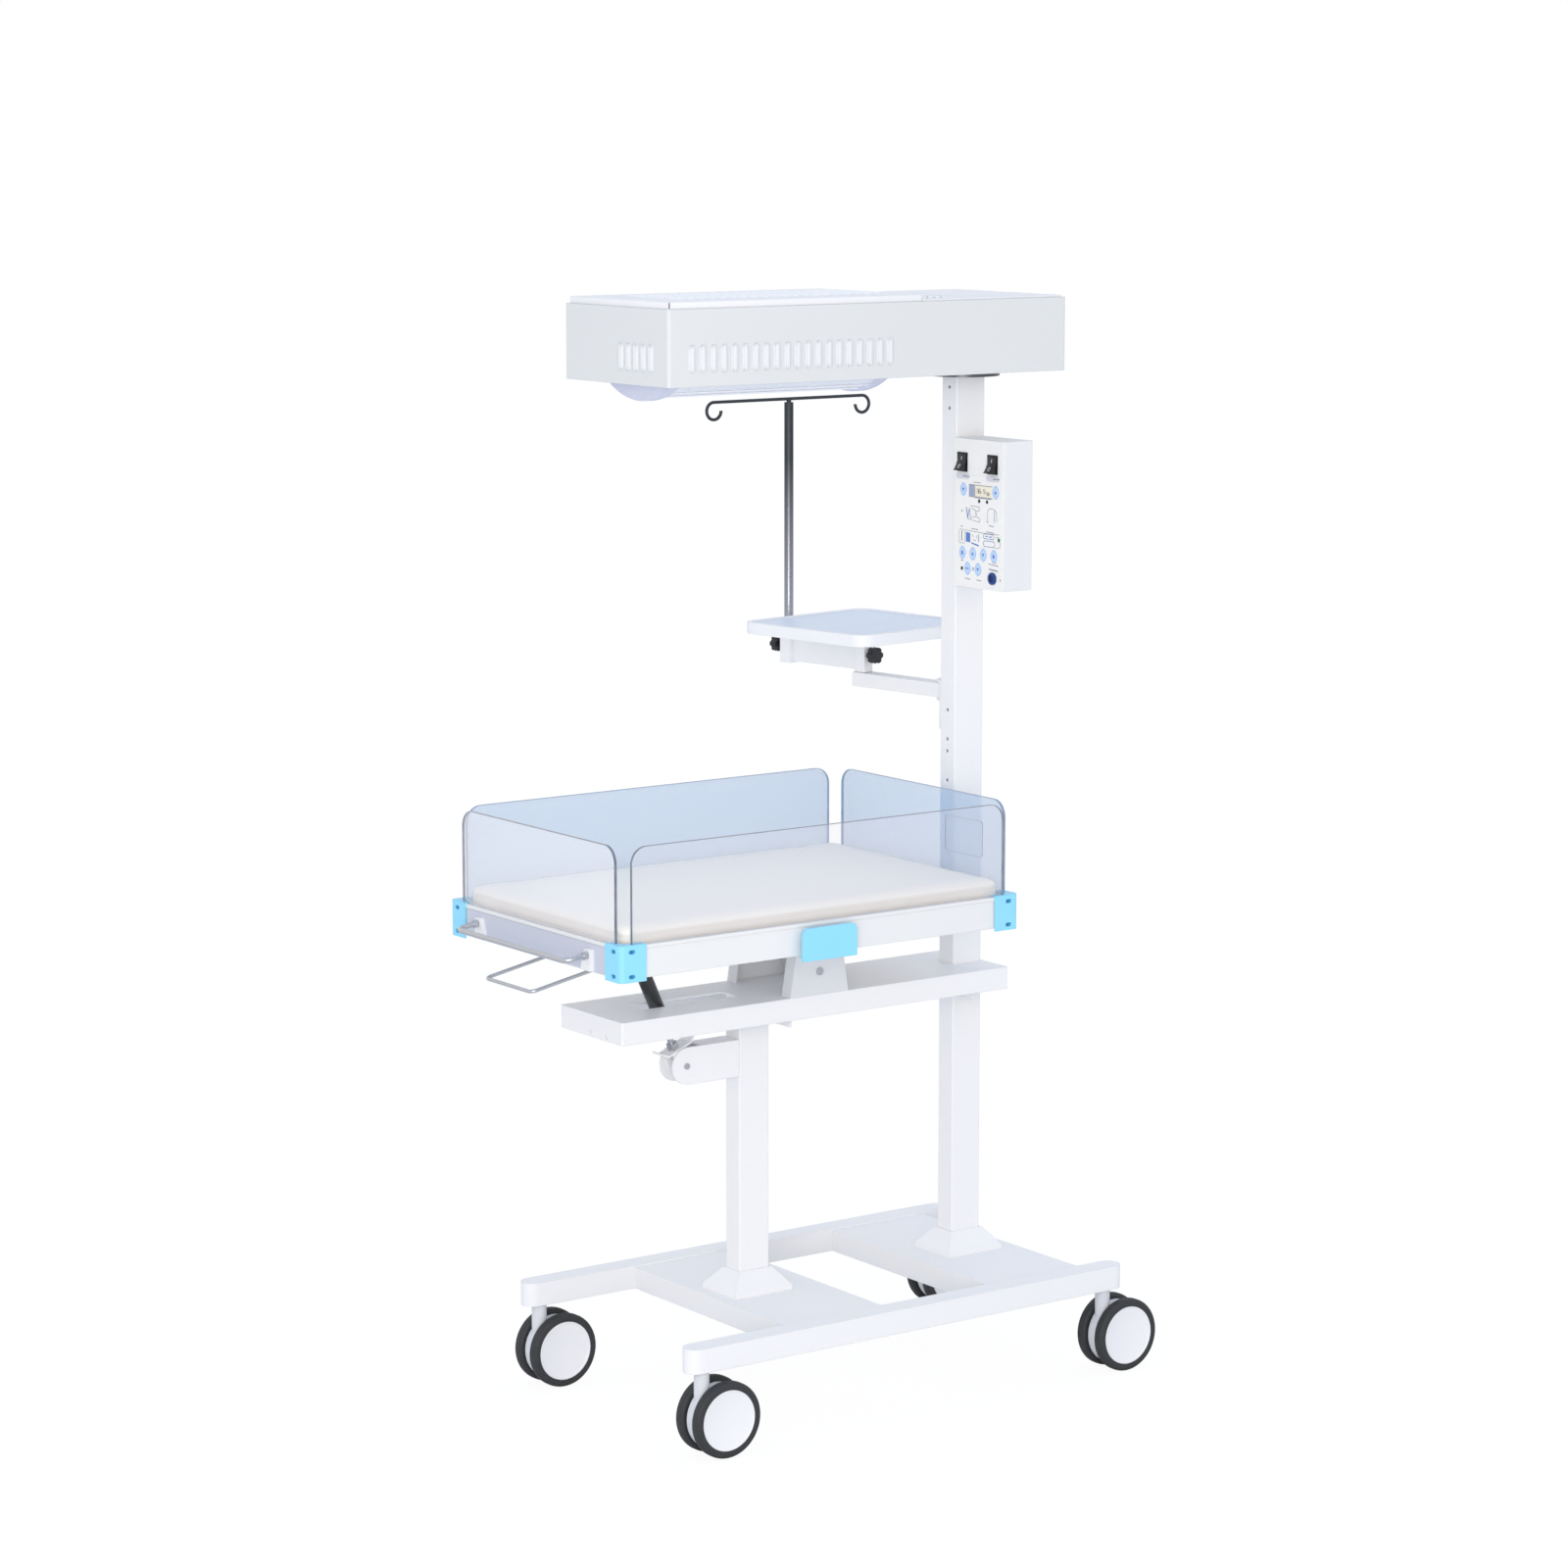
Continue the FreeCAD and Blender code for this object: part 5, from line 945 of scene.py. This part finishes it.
def makeTraySkySheet():
    low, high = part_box("tray")
    middle = (low + high) / 2
    turn = math.radians(tray["turn"])
    spread = math.cos(turn) + math.sin(turn)
    sideLong = (high.x - low.x) / (spread - 2 * tray["cornerShare"] * (spread - 1))
    skySheet = bmesh.new()
    made = bmesh.ops.create_grid(skySheet, x_segments=1, y_segments=1, size=sideLong / 2 - tray["rim"] * millimetre)
    bmesh.ops.bevel(skySheet, geom=made["verts"], offset=tray["round"] * millimetre, offset_type="OFFSET", segments=10,
                    profile=0.5, affect="VERTICES", clamp_overlap=True, material=-1)
    pushOut(skySheet, list(skySheet.faces), (0, 0, tray["thick"] * millimetre))
    place = Matrix.Translation((middle.x, middle.y, high.z - tray["sink"] * millimetre))
    bmesh.ops.transform(skySheet, matrix=place @ Matrix.Rotation(turn, 4, "Z"), verts=skySheet.verts)
    putPiece("traySkySheet", skySheet, traySkyLightBlue, "tray_table", sharp=40.0)


traySkyLightBlue = mouldedPlastic("traySkyLightBlue", rgb(224, 234, 248), rgb(218, 230, 246), 0.36, 1200.0, 0.06)
makeTraySkySheet()

# Darker cyan ovals laid in the slot floors: painted shade in the recesses.
slotShades = bmesh.new()
for spot, out in blockSpots(blockScrew["shadeSink"]):
    addSlotFloorShade(slotShades, spot, out)
slotShadeCyan = mouldedPlastic("slotShadeCyan", rgb(58, 158, 204), rgb(50, 146, 194), 0.4, 900.0)
putPiece("slotFloorShade", slotShades, slotShadeCyan, "bed")
screwCyan = mouldedPlastic("screwCyan", rgb(36, 120, 165), rgb(28, 104, 148), 0.3, 500.0, 0.1)
putPiece("blockScrews", screws, screwCyan, "bed")

# A grey-blue sheet on the pan's front face under its lip: painted shade.
shadeSheet = {"x": -565, "deep": 0.5, "half": 203, "foot": 794.5, "head": 838}
bm = bmesh.new()
addBlock(bm, at(shadeSheet["x"] - shadeSheet["deep"], -shadeSheet["half"], shadeSheet["foot"]),
         at(shadeSheet["x"], shadeSheet["half"], shadeSheet["head"]), 0.0002, 1)
railShade = powderCoat("railShade", rgb(206, 210, 222), rgb(198, 202, 216))
putPiece("frontRailShade", bm, railShade, "bed")

holder = {"x": 202, "near": -170, "far": -71, "foot": 896, "head": 956, "wide": 3.0, "deep": 1.6, "round": 5}
frameSpots = roundedSpots(holder["near"], holder["far"], holder["foot"], holder["head"], holder["round"])
bm = bmesh.new()
ring = [bm.verts.new(at(holder["x"], *spot)) for spot in frameSpots]
face = bm.faces.new(ring)
bmesh.ops.inset_region(bm, faces=[face], thickness=holder["wide"] * millimetre, use_boundary=True,
                       use_even_offset=True)
bmesh.ops.delete(bm, geom=[face], context="FACES_ONLY")
pushOut(bm, list(bm.faces), (-holder["deep"] * millimetre, 0, 0))
holderGrey = mouldedPlastic("holderGrey", rgb(150, 154, 164), rgb(142, 147, 158), 0.3)
putPiece("cardHolder", bm, holderGrey, "rear_panel")

drain = bmesh.new()
addSpun(drain, [(0.0, 0.0002), (0.0042, 0.0002), (0.0046, 0.0), (0.0046, -0.0008), (0.0, -0.0008)],
        at(-461, 1.2, 656), Vector((-1, 0, 0)), Vector((0, 0, 1)), 24)
putPiece("beamPlug", drain, louvreHighlightWhite, "chassis")
print("small parts done")


# Stage, light and camera

stage = {
    "floorSize": 60.0, "floorDrop": 0.0005, "floorWhite": 0.9, "floorGlow": 1.04, "lampPower": 84.0,
    "worldStrength": 0.97, "horizon": (0.99, 0.958, 0.932), "overhead": (0.67, 0.815, 1.03),
}


def seenDirectly(nodes, lit, seen, output):
    # What lights the part is kept apart from what the camera sees, also through the clear panels.
    rays = nodes.tree.nodes.new("ShaderNodeLightPath")
    camera, clear = (Reading(nodes, rays.outputs[name]) for name in ("Is Camera Ray", "Is Transmission Ray"))
    either = camera.combine("MAXIMUM", camera, clear)
    mixed = nodes.node("ShaderNodeMixShader", None, {0: either, 1: lit, 2: seen})
    nodes.node(output, None, {"Surface": mixed}, output=None)


def floorFinish():
    material = bpy.data.materials.new("paleFloor")
    material.use_nodes = True
    nodes = Nodes(material.node_tree)
    nodes.tree.nodes.clear()
    plain = nodes.node("ShaderNodeBsdfDiffuse", None, {"Color": (0.82, 0.82, 0.82, 1)})
    glow = nodes.node("ShaderNodeEmission", None, {"Color": (1, 1, 1, 1), "Strength": stage["floorGlow"]})
    bright = nodes.node("ShaderNodeMixShader", None, {0: stage["floorWhite"], 1: plain, 2: glow})
    seenDirectly(nodes, plain, bright, "ShaderNodeOutputMaterial")
    return material


floorMesh = bmesh.new()
bmesh.ops.create_grid(floorMesh, x_segments=1, y_segments=1, size=stage["floorSize"] / 2)
floorData = bpy.data.meshes.new("floor")
floorMesh.to_mesh(floorData)
floorMesh.free()
floor = addObject("floor", floorData)
floor.location = (0, 0, -stage["floorDrop"])
floorData.materials.append(floorFinish())

world = bpy.data.worlds.new("studio")
bpy.context.scene.world = world
world.use_nodes = True
sky = Nodes(world.node_tree)
sky.tree.nodes.clear()
height = sky.node("ShaderNodeSeparateXYZ", None, {0: sky.node("ShaderNodeTexCoord")}, output="Z")
stops = [(0.35, stage["horizon"]), (0.9, stage["overhead"])]
glowing = sky.node("ShaderNodeValToRGB", {"stops": stops}, {0: height})
lit = sky.node("ShaderNodeBackground", None, {"Color": glowing, "Strength": stage["worldStrength"]})
seenWhite = sky.node("ShaderNodeBackground", None, {"Color": (1, 1, 1, 1)})
seenDirectly(sky, lit, seenWhite, "ShaderNodeOutputWorld")


def addLamp(name, place, target, wide, power, colour):
    data = bpy.data.lights.new(name, "AREA")
    data.shape = "DISK"
    data.size = wide
    data.energy = power
    data.color = colour
    lamp = addObject(name, data)
    lamp.location = place
    lamp.rotation_euler = (Vector(target) - Vector(place)).to_track_quat("-Z", "Y").to_euler()


addLamp("keyLamp", (-3.3, -4.1, 1.5), (0, 0, 0.9), 2.6, stage["lampPower"], (1.0, 0.95, 0.89))
print("stage done")

view = {"lens": 98.75, "place": (-4152.3, -5669.3, 2122.9), "turn": -35.69, "drop": 8.952}
lens = bpy.data.cameras.new("photoLens")
lens.lens = view["lens"]
lens.sensor_width = 36
lens.sensor_fit = "HORIZONTAL"
lens.clip_end = 200
camera = addObject("photoCamera", lens)
camera.location = at(*view["place"])
camera.rotation_euler = (math.radians(90 - view["drop"]), 0, math.radians(view["turn"]))
bpy.context.scene.camera = camera
bpy.context.scene.view_settings.view_transform = "Standard"
